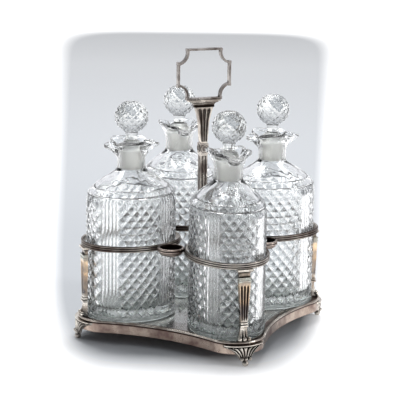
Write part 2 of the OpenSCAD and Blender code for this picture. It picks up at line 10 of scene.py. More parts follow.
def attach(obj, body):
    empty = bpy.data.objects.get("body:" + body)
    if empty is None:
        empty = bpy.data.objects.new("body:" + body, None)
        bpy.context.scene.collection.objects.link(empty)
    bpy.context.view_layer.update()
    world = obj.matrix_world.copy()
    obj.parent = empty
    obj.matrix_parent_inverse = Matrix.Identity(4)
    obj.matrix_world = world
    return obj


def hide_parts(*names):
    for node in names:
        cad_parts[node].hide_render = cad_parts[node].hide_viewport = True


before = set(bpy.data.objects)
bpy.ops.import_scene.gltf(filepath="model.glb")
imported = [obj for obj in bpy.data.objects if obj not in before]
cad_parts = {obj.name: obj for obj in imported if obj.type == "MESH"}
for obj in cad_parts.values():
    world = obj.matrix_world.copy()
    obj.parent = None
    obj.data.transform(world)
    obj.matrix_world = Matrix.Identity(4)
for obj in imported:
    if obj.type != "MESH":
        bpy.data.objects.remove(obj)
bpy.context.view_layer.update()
bpy.context.scene.view_settings.view_transform = "Standard"
CORNERS = ("front", "right", "rear", "left")


# Camera: stands 2 m away on the front's right, a little above the handle, and looks slightly down.
# Its picture is 400 pixels wide, and the lens is long, so that upright lines stay nearly upright.
camera_azimuth = math.radians(25.60)
camera_pitch = math.radians(13.78)
camera_roll = math.radians(0.78)
camera_distance = 2.0126
camera_aim = (-0.0025, 0.1514)
lens_in_pixels = 1650
picture_width = 400
sensor_width = 36


def camera_axes():
    """Right, up and backward unit vectors of a camera turned by azimuth, pitch and roll."""
    back = np.array([
        math.sin(camera_azimuth) * math.cos(camera_pitch),
        -math.cos(camera_azimuth) * math.cos(camera_pitch),
        math.sin(camera_pitch),
    ])
    level = np.array([math.cos(camera_azimuth), math.sin(camera_azimuth), 0.0])
    upward = np.cross(back, level)
    right = math.cos(camera_roll) * level + math.sin(camera_roll) * upward
    return level, right, np.cross(back, right), back


level, right, upward, back = camera_axes()
camera_data = bpy.data.cameras.new("camera")
camera_data.sensor_fit = "HORIZONTAL"
camera_data.sensor_width = sensor_width
camera_data.lens = sensor_width * lens_in_pixels / picture_width
camera_data.clip_end = 60
camera = bpy.data.objects.new("camera", camera_data)
camera_place = level * camera_aim[0] + np.array([0, 0, camera_aim[1]]) + camera_distance * back
camera.matrix_world = Matrix.Translation(camera_place) @ Matrix((right, upward, back)).transposed().to_4x4()
bpy.context.scene.collection.objects.link(camera)
bpy.context.scene.camera = camera


# Floor: a wide sheet of pale paper that keeps the stand's shadow. It is blue grey round the stand and in a
# long path behind it, which widens with distance, and it fades to white beyond.
floor_half = 16.0
floor_level = -0.0001
floor_grey = (0.655, 0.68, 0.715)
floor_white = (0.95, 0.95, 0.96)
path_middle = (-0.02, 1.27)
path_half = (0.246, 1.38)
path_widening = 0.41
path_powers = (5.0, 12.0)
path_fade = (1.0, 2.2)
far_range = (-0.6, 0.6)
far_glow = 0.31
white_glow = 0.75


def new_piece(name, points, faces, flat=None, finish=None):
    """Mesh object of an array of points and a list of faces.

    flat marks the faces that are shaded flat, and finish gives each face's material number."""
    mesh = bpy.data.meshes.new(name)
    mesh.from_pydata(np.asarray(points, float).reshape(-1, 3).tolist(), [], [list(f) for f in faces])
    shaded_smooth = np.ones(len(faces), bool) if flat is None else ~np.asarray(flat, bool)
    mesh.polygons.foreach_set("use_smooth", shaded_smooth)
    if finish is not None:
        mesh.polygons.foreach_set("material_index", np.asarray(finish, np.int32))
    piece = bpy.data.objects.new(name, mesh)
    bpy.context.scene.collection.objects.link(piece)
    return piece


def new_material(name, **sockets):
    """Material with one Principled shader, whose sockets are set by name."""
    material = bpy.data.materials.new(name)
    material.use_nodes = True
    shader = material.node_tree.nodes["Principled BSDF"]
    for socket, value in sockets.items():
        shader.inputs[socket.replace("_", " ")].default_value = value
    return material, material.node_tree, shader


def add_node(tree, kind, links=None, **settings):
    """Adds a shader node, sets its settings and inputs, and links the inputs that are given as sockets."""
    node = tree.nodes.new(kind)
    for key, value in settings.items():
        setattr(node, key, value)
    for key, value in (links or {}).items():
        if isinstance(value, bpy.types.NodeSocket):
            tree.links.new(value, node.inputs[key])
        else:
            node.inputs[key].default_value = value
    return node


def worked_out(tree, operation, *values, clamped=False):
    """Output of a Math node that works on up to three values."""
    return add_node(tree, "ShaderNodeMath", dict(enumerate(values)), operation=operation,
                    use_clamp=clamped).outputs[0]


def ranged(tree, value, low, high, to_low=0.0, to_high=1.0):
    """Output of a Map Range node: a value from low to high becomes one from to_low to to_high."""
    return add_node(tree, "ShaderNodeMapRange", {"Value": value, "From Min": low, "From Max": high,
                                                 "To Min": to_low, "To Max": to_high}).outputs[0]


def ramped(tree, factor, stops):
    """Colour of a ramp through stops of (place, colour)."""
    ramp = add_node(tree, "ShaderNodeValToRGB", {0: factor})
    for k, (place, colour) in enumerate(stops):
        element = ramp.color_ramp.elements[k] if k < 2 else ramp.color_ramp.elements.new(place)
        element.position = place
        element.color = (*colour, 1)
    return ramp.outputs["Color"]


def object_place(tree):
    """Place of a shaded point in the frame, which stays with the piece when it moves."""
    return add_node(tree, "ShaderNodeTexCoord").outputs["Object"]


def paper_material():
    """Paper with a grey path, where the sum of powers of the shares across and along it is under 1.

    It glows where it is white, and a little at the far end of the path, but only where it is looked at."""
    material, tree, shader = new_material("pale floor", Roughness=0.9)
    place = add_node(tree, "ShaderNodeMapping", {"Vector": object_place(tree),
                                                 "Rotation": (0, 0, -camera_azimuth)}).outputs[0]
    sides = add_node(tree, "ShaderNodeSeparateXYZ", {0: place}).outputs
    along = worked_out(tree, "SUBTRACT", sides["Y"], path_middle[1])
    along = worked_out(tree, "DIVIDE", along, path_half[1])
    width = worked_out(tree, "MULTIPLY_ADD", along, path_half[0] * path_widening, path_half[0])
    across = worked_out(tree, "SUBTRACT", sides["X"], path_middle[0])
    across = worked_out(tree, "DIVIDE", across, width)
    powers = [worked_out(tree, "POWER", worked_out(tree, "ABSOLUTE", share), power)
              for share, power in zip((across, along), path_powers)]
    whiteness = ranged(tree, worked_out(tree, "ADD", *powers), *path_fade)
    paper = ramped(tree, whiteness, [(0, floor_grey), (1, floor_white)])
    tree.links.new(paper, shader.inputs["Base Color"])
    rays = add_node(tree, "ShaderNodeLightPath").outputs
    looked_at = worked_out(tree, "MAXIMUM", rays["Is Camera Ray"], rays["Is Glossy Ray"])
    looked_at = worked_out(tree, "MAXIMUM", looked_at, rays["Is Transmission Ray"])
    far = ranged(tree, along, *far_range, 0.0, far_glow)
    glow = worked_out(tree, "MULTIPLY_ADD", whiteness, white_glow, far)
    glow = worked_out(tree, "MULTIPLY", glow, looked_at)
    shader.inputs["Emission Color"].default_value = (1, 1, 1, 1)
    tree.links.new(glow, shader.inputs["Emission Strength"])
    return material


floor_corners = [(x, y, floor_level) for x in (-floor_half, floor_half) for y in (-floor_half, floor_half)]
floor = new_piece("floor", floor_corners, [(0, 2, 3, 1)])
floor.data.materials.append(paper_material())


# Room light: pale behind the stand and dark to the sides and above, as round a paper sweep in a dim room,
# so that cut glass and plate have something dark to show. Everything else gets one even grey.
pale_wall_dip = -0.35
wall_tones = (
    (0, (0.92, 0.93, 0.97)), (0.13, (0.70, 0.72, 0.76)), (0.32, (0.17, 0.18, 0.20)), (1, (0.06, 0.06, 0.065)),
)
room_grey = (0.20, 0.205, 0.215, 1)


def mixed(tree, factor, first, second):
    """Colour between two colours by a factor."""
    return add_node(tree, "ShaderNodeMix", {"Factor": factor, 6: first, 7: second},
                    data_type="RGBA").outputs[2]


def light_room():
    """World whose tone follows the angle from its pale wall, seen only in metal and through glass."""
    world = bpy.data.worlds.new("room")
    bpy.context.scene.world = world
    world.use_nodes = True
    tree = world.node_tree
    toward = add_node(tree, "ShaderNodeTexCoord").outputs["Generated"]
    facing = add_node(tree, "ShaderNodeVectorMath", {0: toward, 1: (back[0], back[1], pale_wall_dip)},
                      operation="DOT_PRODUCT").outputs["Value"]
    walls = ramped(tree, ranged(tree, facing, -1.0, 1.0), wall_tones)
    rays = add_node(tree, "ShaderNodeLightPath").outputs
    mirrored = worked_out(tree, "MAXIMUM", rays["Is Glossy Ray"], rays["Is Transmission Ray"])
    tree.links.new(mixed(tree, mirrored, room_grey, walls), tree.nodes["Background"].inputs["Color"])


def add_lamp(name, place, aim, width, height, power):
    """Rectangular soft lamp at a place, turned to face an aim."""
    data = bpy.data.lights.new(name, "AREA")
    data.shape = "RECTANGLE"
    data.size = width
    data.size_y = height
    data.energy = power
    lamp = bpy.data.objects.new(name, data)
    z = np.subtract(place, aim) / np.linalg.norm(np.subtract(place, aim))
    x = np.cross((0, 0, 1), z)
    x = x / np.linalg.norm(x)
    lamp.matrix_world = Matrix.Translation(place) @ Matrix((x, np.cross(z, x), z)).transposed().to_4x4()
    bpy.context.scene.collection.objects.link(lamp)


light_room()
add_lamp("overhead softbox", (-0.4, 0.7, 2.1), (0, 0, 0.1), 1.5, 1.0, 36)
add_lamp("tall side softbox", (1.9, 0.3, 0.8), (0, 0, 0.2), 0.28, 1.3, 11)
add_lamp("left fill", (-1.5, -0.6, 1.6), (0, 0, 0.2), 0.7, 1.0, 5)


# Tray: one sheet of nickel silver pressed to a floor with a plain apron, the plate worn thin to a mottled
# mauve brown. Its plan is four round lobes joined by hollow sides that run smoothly into them.
tray_reach = 0.1551
lobe_r = 0.0355
tray_waist = 0.107
tray_top = 0.0265
apron_depth = 0.013
apron_low = tray_top - apron_depth
apron_hollow = 0.0003
sheet = 0.0016
edge_round = 0.0005
hem_r = 0.0008
floor_from_edge = 0.010
# The apron's outer face within this depth under its top takes a painted shadow from the rim.
rim_shadow_band = 0.0020
lobe_centre = (tray_reach - lobe_r) / math.sqrt(2)
waist_in = tray_waist - lobe_centre
hollow_r = (lobe_centre ** 2 + waist_in ** 2 - lobe_r ** 2) / (2 * (lobe_r - waist_in))
hollow_centre = tray_waist + hollow_r
lobe_start = math.atan2(lobe_centre - hollow_centre, -lobe_centre)


def noise(tree, place, scale, detail, roughness=0.5):
    """Cloudy value from 0 to 1 at a place."""
    return add_node(tree, "ShaderNodeTexNoise", {"Vector": place, "Scale": scale, "Detail": detail,
                                                 "Roughness": roughness}).outputs["Fac"]


def plate_group():
    """Node group for worn silver plate with painted shade: puts out its colour, roughness and normal.

    Its darkening is painted shade with some tarnishing: the piece's own attribute of shade in grooves and
    under overhangs, plus painted shade from ambient occlusion in its corners, broken up by specks."""
    group = bpy.data.node_groups.new("worn shaded plate", "ShaderNodeTree")
    for name, kind, value in (
        ("Bright", "NodeSocketColor", (0.66, 0.60, 0.53, 1)),
        ("Worn", "NodeSocketColor", (0.30, 0.25, 0.215, 1)),
        ("Dark", "NodeSocketColor", (0.018, 0.012, 0.009, 1)),
        ("Reach", "NodeSocketFloat", 0.005),
        ("Tarnish", "NodeSocketFloat", 1.6),
        ("Cloud Scale", "NodeSocketFloat", 60.0),
        ("Smoothest", "NodeSocketFloat", 0.20),
    ):
        socket = group.interface.new_socket(name, in_out="INPUT", socket_type=kind)
        socket.default_value = value
    for name, kind in (("Color", "NodeSocketColor"), ("Roughness", "NodeSocketFloat"),
                       ("Normal", "NodeSocketVector")):
        group.interface.new_socket(name, in_out="OUTPUT", socket_type=kind)
    given = group.nodes.new("NodeGroupInput").outputs
    place = object_place(group)
    clouds = noise(group, place, given["Cloud Scale"], 4, 0.6)
    specks = noise(group, place, 700, 3)
    # Painted shade: ambient occlusion darkens the plate in its corners and hollows, where shade falls.
    open_sky = add_node(group, "ShaderNodeAmbientOcclusion", {"Distance": given["Reach"]},
                        samples=6, only_local=True).outputs["AO"]
    corners = worked_out(group, "SUBTRACT", 1.0, open_sky)
    corners = worked_out(group, "MULTIPLY", corners, given["Tarnish"])
    uneven = ranged(group, specks, 0.3, 0.7, 1.6, 2.6)
    # The piece's own painted shade, with some tarnishing, in its grooves and under overhangs.
    grooves = add_node(group, "ShaderNodeAttribute", attribute_name="recess").outputs["Fac"]
    tarnish_and_shade = worked_out(group, "MULTIPLY_ADD", corners, uneven, grooves, clamped=True)
    surface = mixed(group, ranged(group, clouds, 0.38, 0.62), given["Bright"], given["Worn"])
    colour = mixed(group, tarnish_and_shade, surface, given["Dark"])
    rough = worked_out(group, "ADD", ranged(group, clouds, 0.3, 0.7, 0.0, 0.18), given["Smoothest"])
    rough = worked_out(group, "MULTIPLY_ADD", tarnish_and_shade, 0.25, rough)
    pits = add_node(group, "ShaderNodeBump", {"Height": specks, "Strength": 0.12, "Distance": 0.0006})
    out = group.nodes.new("NodeGroupOutput").inputs
    for socket, name in ((colour, "Color"), (rough, "Roughness"), (pits.outputs[0], "Normal")):
        group.links.new(socket, out[name])
    return group


worn_shaded_plate = plate_group()


def plate_material(name, reflection_tones=None, **inputs):
    """Metal whose colour, roughness and normal come from the plate group, with its wear and painted shade.

    Stops of (height, colour), when given, change its bright colour up the piece as painted reflections and
    painted shade."""
    material, tree, shader = new_material(name, Metallic=1.0)
    group = tree.nodes.new("ShaderNodeGroup")
    group.node_tree = worn_shaded_plate
    for key, value in inputs.items():
        group.inputs[key.replace("_", " ")].default_value = value
    if reflection_tones:
        low, high = reflection_tones[0][0], reflection_tones[-1][0]
        height = add_node(tree, "ShaderNodeSeparateXYZ", {0: object_place(tree)}).outputs["Z"]
        stops = [((tone_height - low) / (high - low), colour) for tone_height, colour in reflection_tones]
        tree.links.new(ramped(tree, ranged(tree, height, low, high), stops), group.inputs["Bright"])
    for source, socket in (("Color", "Base Color"), ("Roughness", "Roughness"), ("Normal", "Normal")):
        tree.links.new(group.outputs[source], shader.inputs[socket])
    return material


def grid_faces(rows, columns, round_rows=False, round_columns=False):
    """Four-sided faces between the neighbours of a grid of points, joined end to end where it is round."""
    i = np.arange(rows if round_rows else rows - 1)[:, None]
    j = np.arange(columns if round_columns else columns - 1)[None, :]
    next_i = (i + 1) % rows
    next_j = (j + 1) % columns
    corners = (i * columns + j, i * columns + next_j, next_i * columns + next_j, next_i * columns + j)
    return np.stack(np.broadcast_arrays(*corners), -1).reshape(-1, 4)


def carried(path, outwards, profile, closed=True):
    """Ring: a profile of (outwards, up), closed or open, carried along a closed plan path."""
    profile = np.asarray(profile, float)
    plan = path[:, None, :] + outwards[:, None, :] * profile[None, :, :1]
    height = np.broadcast_to(profile[None, :, 1:], plan.shape[:2] + (1,))
    points = np.concatenate([plan, height], -1)
    return points, grid_faces(len(path), len(profile), True, closed).tolist()


def arc(centre, radius, start, end, steps):
    """Points of an arc from one angle to another, in degrees."""
    turn = np.radians(np.linspace(start, end, steps))
    return np.stack([centre[0] + radius * np.cos(turn), centre[1] + radius * np.sin(turn)], -1)


def turned(points, quarter_turns):
    """Plan points turned about the stand's centre by a number of quarter turns."""
    turn = quarter_turns * math.pi / 2
    return points @ np.array([[math.cos(turn), math.sin(turn)], [-math.sin(turn), math.cos(turn)]])


def tray_edge(side_steps=40, lobe_steps=26):
    """Points and outward directions of the tray's edge, anticlockwise.

    Each quarter is an arc about the hollow side's centre, then an arc about the lobe's centre."""
    meet = math.pi + lobe_start
    side = np.linspace(math.pi - meet, meet, side_steps, endpoint=False)
    lobe = np.linspace(lobe_start, -math.pi / 2 - lobe_start, lobe_steps, endpoint=False)
    side_way = np.stack([np.cos(side), np.sin(side)], -1)
    lobe_way = np.stack([np.cos(lobe), np.sin(lobe)], -1)
    quarter = np.concatenate([np.array([0, -hollow_centre]) + hollow_r * side_way,
                              np.array([lobe_centre, -lobe_centre]) + lobe_r * lobe_way])
    outwards = np.concatenate([-side_way, lobe_way])
    return (np.concatenate([turned(quarter, k) for k in range(4)]),
            np.concatenate([turned(outwards, k) for k in range(4)]))


def turn_outwards(piece, sharp=35):
    """Closes a piece's seams, points its faces out of the solid and keeps corners over some degrees crisp."""
    work = bmesh.new()
    work.from_mesh(piece.data)
    bmesh.ops.remove_doubles(work, verts=work.verts, dist=1e-7)
    bmesh.ops.recalc_face_normals(work, faces=work.faces)
    work.to_mesh(piece.data)
    work.free()
    piece.data.set_sharp_from_angle(angle=math.radians(sharp))
    return piece


def mark_recess(piece, depth):
    """Stores how far each point lies in a groove or in shade, from 0 to 1: painted shade, with some
    tarnishing, that darkens the plate there.
    """
    recess = piece.data.attributes.new("recess", "FLOAT", "POINT")
    recess.data.foreach_set("value", np.ravel(depth).astype(float))
    return piece


def dress(piece, material, body, slot, *nodes):
    """Gives a finished piece its material and its body, and hides the solids that it stands for. The slot is
    not used.
    """
    piece.data.materials.append(material)
    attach(piece, body)
    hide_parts(*nodes)
    return piece


edge_path, edge_way = tray_edge()
apron_profile = np.concatenate([
    [(-floor_from_edge, tray_top), (-edge_round, tray_top), (0.0, tray_top - edge_round)],
    [(0.0, tray_top - 0.0016), (0.0, tray_top - 0.0022)],
    [(-apron_hollow, apron_low + 0.5 * apron_depth), (0.0, apron_low + 0.0025)],
    arc((-hem_r, apron_low + hem_r), hem_r, 20, -160, 7),
    [(-sheet, apron_low + 0.002), (-sheet, tray_top - sheet), (-floor_from_edge, tray_top - sheet)],
])
points, faces = carried(edge_path, edge_way, apron_profile, closed=False)
top_edge = np.arange(len(edge_path)) * len(apron_profile)
faces += [top_edge.tolist(), (top_edge + len(apron_profile) - 1).tolist()]
on_floor = np.arange(len(faces)) == len(faces) - 2
tray = new_piece("tray", points, faces, on_floor, on_floor)
# Painted shadow: the apron's band just under the rim wire is darkened as the rim's shade.
under_rim_shade = (apron_profile[:, 0] > -sheet) & (apron_profile[:, 1] > tray_top - rim_shadow_band)
turn_outwards(mark_recess(tray, np.tile(under_rim_shade, len(edge_path))))
tray_plate = plate_material("tray plate", Bright=(0.41, 0.33, 0.275, 1), Worn=(0.17, 0.115, 0.10, 1),
                            Dark=(0.05, 0.03, 0.025, 1), Cloud_Scale=45.0, Tarnish=0.6)
tray_floor = plate_material("tray floor plate", Bright=(0.78, 0.77, 0.75, 1), Worn=(0.52, 0.48, 0.46, 1),
                            Dark=(0.10, 0.08, 0.07, 1), Cloud_Scale=30.0, Tarnish=0.3, Smoothest=0.08)
dress(tray, tray_plate, "stand", "tray_plate", "base_tray")
tray.data.materials.append(tray_floor)


# Rim: reeded silver-plated wire, a fat bead with a thin one on its inner side.
# It is bent to the tray's outline and soldered along its top edge.
bead_r = 0.0014
thin_bead_r = 0.0007
silver = plate_material("silver plate")
rim_profile = np.concatenate([
    arc((-0.0002, tray_top + 0.0010), bead_r, -75, 130, 11),
    arc((-0.0013, tray_top + 0.0004), thin_bead_r, 90, 180, 6),
    [(-0.0020, tray_top), (0.0, tray_top - 0.0001)],
])
points, faces = carried(edge_path, edge_way, rim_profile)
rim_wire = turn_outwards(new_piece("tray_rim_wire", points, faces))
dress(rim_wire, silver, "stand", "silver_plate", "tray_rim")


# Gallery rings: flat oval bands rolled from plated wire with three round reeds, one round each decanter.
# Each is soldered to its pilaster at the outer end and held by the rests at its sides.
dec_half = (0.0552, 0.0452)
dec_reach = 0.0902
ring_half = (0.0610, 0.0486)
ring_low = 0.1140
ring_high = 0.1215
ring_thick = 0.0026
reed_count = 3
reed_h = (ring_high - ring_low) / reed_count
reed_tilt = 80
reed_steps = 7
ring_steps = 120
end_share = 0.85


def oval_radii(a, b):
    """Radii of an oval's end arcs and side arcs, and the direction in which they meet."""
    end = end_share * b
    side = (a * a - 2 * a * end + b * b) / (2 * (b - end))
    return end, side, np.arctan2(side - b, a - end)


def oval(a, b, way):
    """Points of a four-arc oval where its outline faces each direction; a and b are its half axes."""
    end, side, meet = oval_radii(a, b)
    at_end = np.abs(np.sin(way)) * np.cos(meet) < np.abs(np.cos(way)) * np.sin(meet)
    x = np.where(at_end, np.sign(np.cos(way)) * (a - end) + end * np.cos(way), side * np.cos(way))
    y = np.where(at_end, end * np.sin(way), side * np.sin(way) - np.sign(np.sin(way)) * (side - b))
    return np.stack(np.broadcast_arrays(x, y), -1)


def at_corner(points, k, reach):
    """Points moved out along a corner's diagonal, with their X pointing outwards.

    The front corner is number 0, and the others follow anticlockwise."""
    turn = math.radians(90 * k - 45)
    points = np.asarray(points, float)
    x = (points[..., 0] + reach) * math.cos(turn) - points[..., 1] * math.sin(turn)
    y = (points[..., 0] + reach) * math.sin(turn) + points[..., 1] * math.cos(turn)
    return np.stack([x, y, points[..., 2]], -1)


reeds = [arc((-reed_h / 2, ring_low + (k + 0.5) * reed_h), reed_h / 2, -reed_tilt, reed_tilt, reed_steps)
         for k in range(reed_count)]
ring_back = [(-ring_thick / 2, ring_high - 0.0001), (-ring_thick, ring_high - 0.0002),
             (-ring_thick, ring_low + 0.0002), (-ring_thick / 2, ring_low + 0.0001)]
ring_profile = np.concatenate([*reeds, ring_back])
# Painted shade, with some tarnishing, between the reeds, and a little painted shade on the ring's inner face.
reed_recess = np.abs(np.sin(np.radians(np.linspace(-reed_tilt, reed_tilt, reed_steps)))) ** 1.3
ring_recess = np.concatenate([np.tile(reed_recess, reed_count), np.full(len(ring_back), 0.15)])
ring_way = np.linspace(0, 2 * math.pi, ring_steps, endpoint=False)
reeded_plate = plate_material("reeded plate", Bright=(0.66, 0.61, 0.55, 1), Worn=(0.13, 0.095, 0.08, 1),
                              Cloud_Scale=28.0)
for k, corner in enumerate(CORNERS):
    points, faces = carried(oval(*ring_half, ring_way), np.stack([np.cos(ring_way), np.sin(ring_way)], -1),
                            ring_profile)
    ring = new_piece("reeded_ring_" + corner, at_corner(points, k, dec_reach), faces)
    mark_recess(ring, np.tile(ring_recess, ring_steps))
    dress(turn_outwards(ring), reeded_plate, "stand", "silver_plate", "ring_" + corner)


# Stopper rests: small reeded cups of plated metal soldered between two rings, at the middle of each side.
# Each takes the end of a stopper's plug while its decanter is in use.
rest_r = 0.0160
rest_bore_r = 0.0132
rest_centre = 0.08356
rest_low = 0.1120
rest_bead_r = 0.00125
rest_steps = 48
lug_half = 0.0022
lug_inset = 0.0015
lug_turn = math.radians(24.2)
# Each part's second column is painted shade with some tarnishing: darkest inside the cup and between its
# beads.
cup_parts = (
    ([(0, rest_low), (0.0070, rest_low)], np.ones(2)),
    (arc((rest_r - 0.0065, rest_low + 0.0050), 0.0050, -80, -8, 8), np.linspace(0.8, 0.3, 8)),
    (arc((rest_r - rest_bead_r, rest_low + 0.00575), rest_bead_r, -60, 80, 7), np.linspace(-1, 1, 7) ** 2),
    (arc((rest_r - rest_bead_r, rest_low + 0.00825), rest_bead_r, -80, 90, 7), np.linspace(-1, 0.4, 7) ** 2),
    (arc((rest_bore_r + 0.0006, rest_low + 0.0089), 0.0006, 90, 180, 5), np.linspace(0, 0.8, 5)),
    (arc((rest_bore_r - 0.0030, rest_low + 0.0050), 0.0030, 0, -90, 7), np.ones(7)),
    ([(0, rest_low + 0.0020)], np.ones(1)),
)


def revolved(profile, centre=(0, 0), steps=48):
    """Surface of a (radius, height) profile turned about an upright axis; a radius of zero is a pole."""
    turn = np.linspace(0, 2 * math.pi, steps, endpoint=False)
    spokes = np.stack([np.cos(turn), np.sin(turn)], -1)
    return carried(np.broadcast_to(centre, spokes.shape), spokes, profile, closed=False)


def joined(parts):
    """Several surfaces of (points, faces) as one list of points and one of faces."""
    points, faces, start = [], [], 0
    for part_points, part_faces in parts:
        part_points = np.asarray(part_points, float).reshape(-1, 3)
        points.append(part_points)
        faces += [np.add(face, start).tolist() for face in part_faces]
        start += len(part_points)
    return np.concatenate(points), faces


def block(low, high):
    """Box between two corners, as points and faces."""
    points = np.array([[x, y, z] for x in (low[0], high[0]) for y in (low[1], high[1])
                       for z in (low[2], high[2])])
    return points, [(0, 1, 3, 2), (4, 6, 7, 5), (0, 4, 5, 1), (2, 3, 7, 6), (0, 2, 6, 4), (1, 5, 7, 3)]


def rest_lug(turn):
    """Small block on the cup's side, turned about the cup's axis, that is soldered to a ring."""
    points, faces = block((rest_r - 0.0012, -lug_half, ring_low + lug_inset),
                          (rest_r + 0.0010, lug_half, ring_high - lug_inset))
    x = points[:, 0] * math.cos(turn) - points[:, 1] * math.sin(turn)
    y = points[:, 0] * math.sin(turn) + points[:, 1] * math.cos(turn) - rest_centre
    return np.stack([x, y, points[:, 2]], -1), faces


cup_profile, cup_recess = (np.concatenate(column) for column in zip(*cup_parts))
cup_plate = plate_material("cup plate", Bright=(0.50, 0.42, 0.37, 1), Worn=(0.13, 0.085, 0.07, 1),
                           Cloud_Scale=40.0)
for k, side in enumerate(("front_left", "front_right", "rear_right", "rear_left")):
    cup = revolved(cup_profile, (0, -rest_centre), rest_steps)
    points, faces = joined([cup, rest_lug(lug_turn), rest_lug(math.pi - lug_turn)])
    points = np.concatenate([turned(points[:, :2], k), points[:, 2:]], -1)
    rest = new_piece("cup_" + side, points, faces)
    # The lugs take half that painted shade.
    recess = np.tile(cup_recess, rest_steps)
    mark_recess(rest, np.concatenate([recess, np.full(len(points) - len(recess), 0.5)]))
    dress(turn_outwards(rest), cup_plate, "stand", "silver_plate", "rest_" + side)


# Pilasters: tapering shafts cast in one with their capital, collar and claw, and silver plated. The claw
# stands on the rim, a stud under it goes through the tray, and the capital carries the ring's outer end.
pilaster_back = 0.1460
rim_top = 0.0288
claw_top = 0.0453
shaft_low = 0.0513
shaft_high = 0.0990
recess_low = 0.1045
capital_low = 0.1095
shaft_half = (0.0042, 0.0070)
shaft_depth = (0.0050, 0.0054)
capital_half = 0.0095
pilaster_flute_cut = 0.0012
toe_r = 0.0026
toe_gap = 0.0056
pad_half = 0.0055
# Painted reflections and shade by height: a painted highlight on the claw, a dark band low on the shaft
# and gold above, for the room that the plate would reflect, and painted shade in the hollow under the
# capital.
pilaster_reflection_tones = (
    (rim_top, (0.92, 0.88, 0.80)), (0.0540, (0.70, 0.66, 0.60)), (0.0570, (0.075, 0.078, 0.09)),
    (0.0700, (0.12, 0.10, 0.095)), (0.0790, (0.55, 0.38, 0.24)), (0.0960, (0.80, 0.60, 0.40)),
    (0.0992, (0.50, 0.52, 0.47)), (0.1044, (0.40, 0.42, 0.38)), (0.1046, (0.05, 0.055, 0.045)),
    (0.1094, (0.05, 0.055, 0.045)), (0.1106, (0.50, 0.48, 0.43)), (ring_low, (0.70, 0.66, 0.60)),
)


def smooth_step(value, low, high):
    """Share from 0 to 1 that rises smoothly between two values."""
    t = np.clip((value - low) / (high - low), 0, 1)
    return t * t * (3 - 2 * t)


def flute_depth(across, along, places, half_width, low, high):
    """Depth, from 0 to 1, of round-bottomed flutes at places across a face.

    A flute is as deep as a circle over its half width, and narrows to a round arch at both ends."""
    depth = 0
    for place in places:
        narrow = np.sqrt(np.clip(1 - np.clip((along - high) / half_width, 0, 1) ** 2
                                 - np.clip((low - along) / half_width, 0, 1) ** 2, 0, 1))
        u = (across - place) / np.maximum(half_width * narrow, 1e-7)
        depth = depth + np.sqrt(np.clip(1 - u * u, 0, 1)) * narrow
    return depth


def capped_loft(rows):
    """Faces of round rows laid over each other, with a flat cap under the first and over the last."""
    count = rows.shape[1]
    ends = np.arange(count) + np.array([[0], [(len(rows) - 1) * count]])
    return grid_faces(len(rows), count, False, True).tolist() + ends.tolist()


def pilaster_rows():
    """Heights, half widths and depths of the pilaster's outline, from its toes to its capital."""
    claw = np.linspace(0, 1, 16)
    claw_half = 0.0066 - 0.0026 * np.sin(claw * math.pi / 2) ** 0.8
    claw_depth = 0.0076 - 0.0036 * np.sin(claw * math.pi / 2) ** 0.7
    shaft = np.linspace(0, 1, 40)
    steps = [
        np.stack([rim_top + claw * (claw_top - rim_top), claw_half, claw_depth], -1),
        [(claw_top + 0.0002, 0.0046, 0.0062), (claw_top + 0.0020, 0.0048, 0.0065),
         (claw_top + 0.0022, 0.0034, 0.0042), (claw_top + 0.0032, 0.0034, 0.0042),
         (claw_top + 0.0034, 0.0044, 0.0058), (claw_top + 0.0048, 0.0044, 0.0058),
         (claw_top + 0.0050, 0.0036, 0.0048), (shaft_low - 0.0002, 0.0037, 0.0049)],
        np.stack([shaft_low + shaft * (shaft_high - shaft_low),
                  shaft_half[0] + shaft * (shaft_half[1] - shaft_half[0]),
                  shaft_depth[0] + shaft * (shaft_depth[1] - shaft_depth[0])], -1),
        [(shaft_high + 0.0002, 0.0075, 0.0061), (shaft_high + 0.0016, 0.0075, 0.0061),
         (shaft_high + 0.0018, 0.0071, 0.0055), (recess_low - 0.0012, 0.0071, 0.0055),
         (recess_low - 0.0010, 0.0076, 0.0062), (recess_low, 0.0076, 0.0062),
         (recess_low + 0.0002, 0.0066, 0.0036), (capital_low - 0.0002, 0.0066, 0.0038)],
        [(capital_low, 0.0068, 0.0042), (capital_low + 0.0008, 0.0074, 0.0046),
         (capital_low + 0.0015, 0.0084, 0.0053), (capital_low + 0.0021, 0.0093, 0.0061),
         (capital_low + 0.0023, capital_half, 0.0064), (ring_low, capital_half, 0.0064)],
    ]
    return np.concatenate(steps)


def pilaster():
    """Loft of an outline with a flat back: the front carries three flutes on the shaft and three toes below.

    The toes swell by the cosine of one and a half turns across the front. Also gives each point's painted
    shade, with some tarnishing, in the flutes and between the toes."""
    height, half, depth = (column[:, None] for column in pilaster_rows().T)
    across = np.linspace(-1, 1, 49)[None, :]
    y = half * across
    flutes = flute_depth(y, height - shaft_low, (0.58 * half * s for s in (-1, 0, 1)), 0.19 * half,
                         0.0030, shaft_high - shaft_low - 0.0058)
    flutes = flutes * ((height > shaft_low) & (height < shaft_high))
    lobes = np.abs(np.cos(1.5 * math.pi * across)) ** 0.7
    claw = smooth_step(height, claw_top - 0.0010, rim_top + 0.0030)
    x = depth - pilaster_flute_cut * flutes + claw * (0.0010 * lobes - 0.0024 * (1 - lobes))
    # Painted shade in the gaps between the toes.
    gaps = claw * (1 - lobes) ** 1.5 * (np.abs(across) < 0.85)
    front = np.stack(np.broadcast_arrays(x, y, height), -1)
    ends = [np.stack([0 * height, s * half, height], -1) for s in (1, -1)]
    rows = np.concatenate([front, *ends], 1)
    recess = np.clip(1.3 * flutes + 1.4 * gaps, 0, 1)
    return rows, capped_loft(rows), np.concatenate([recess, np.zeros((len(rows), 2))], 1)


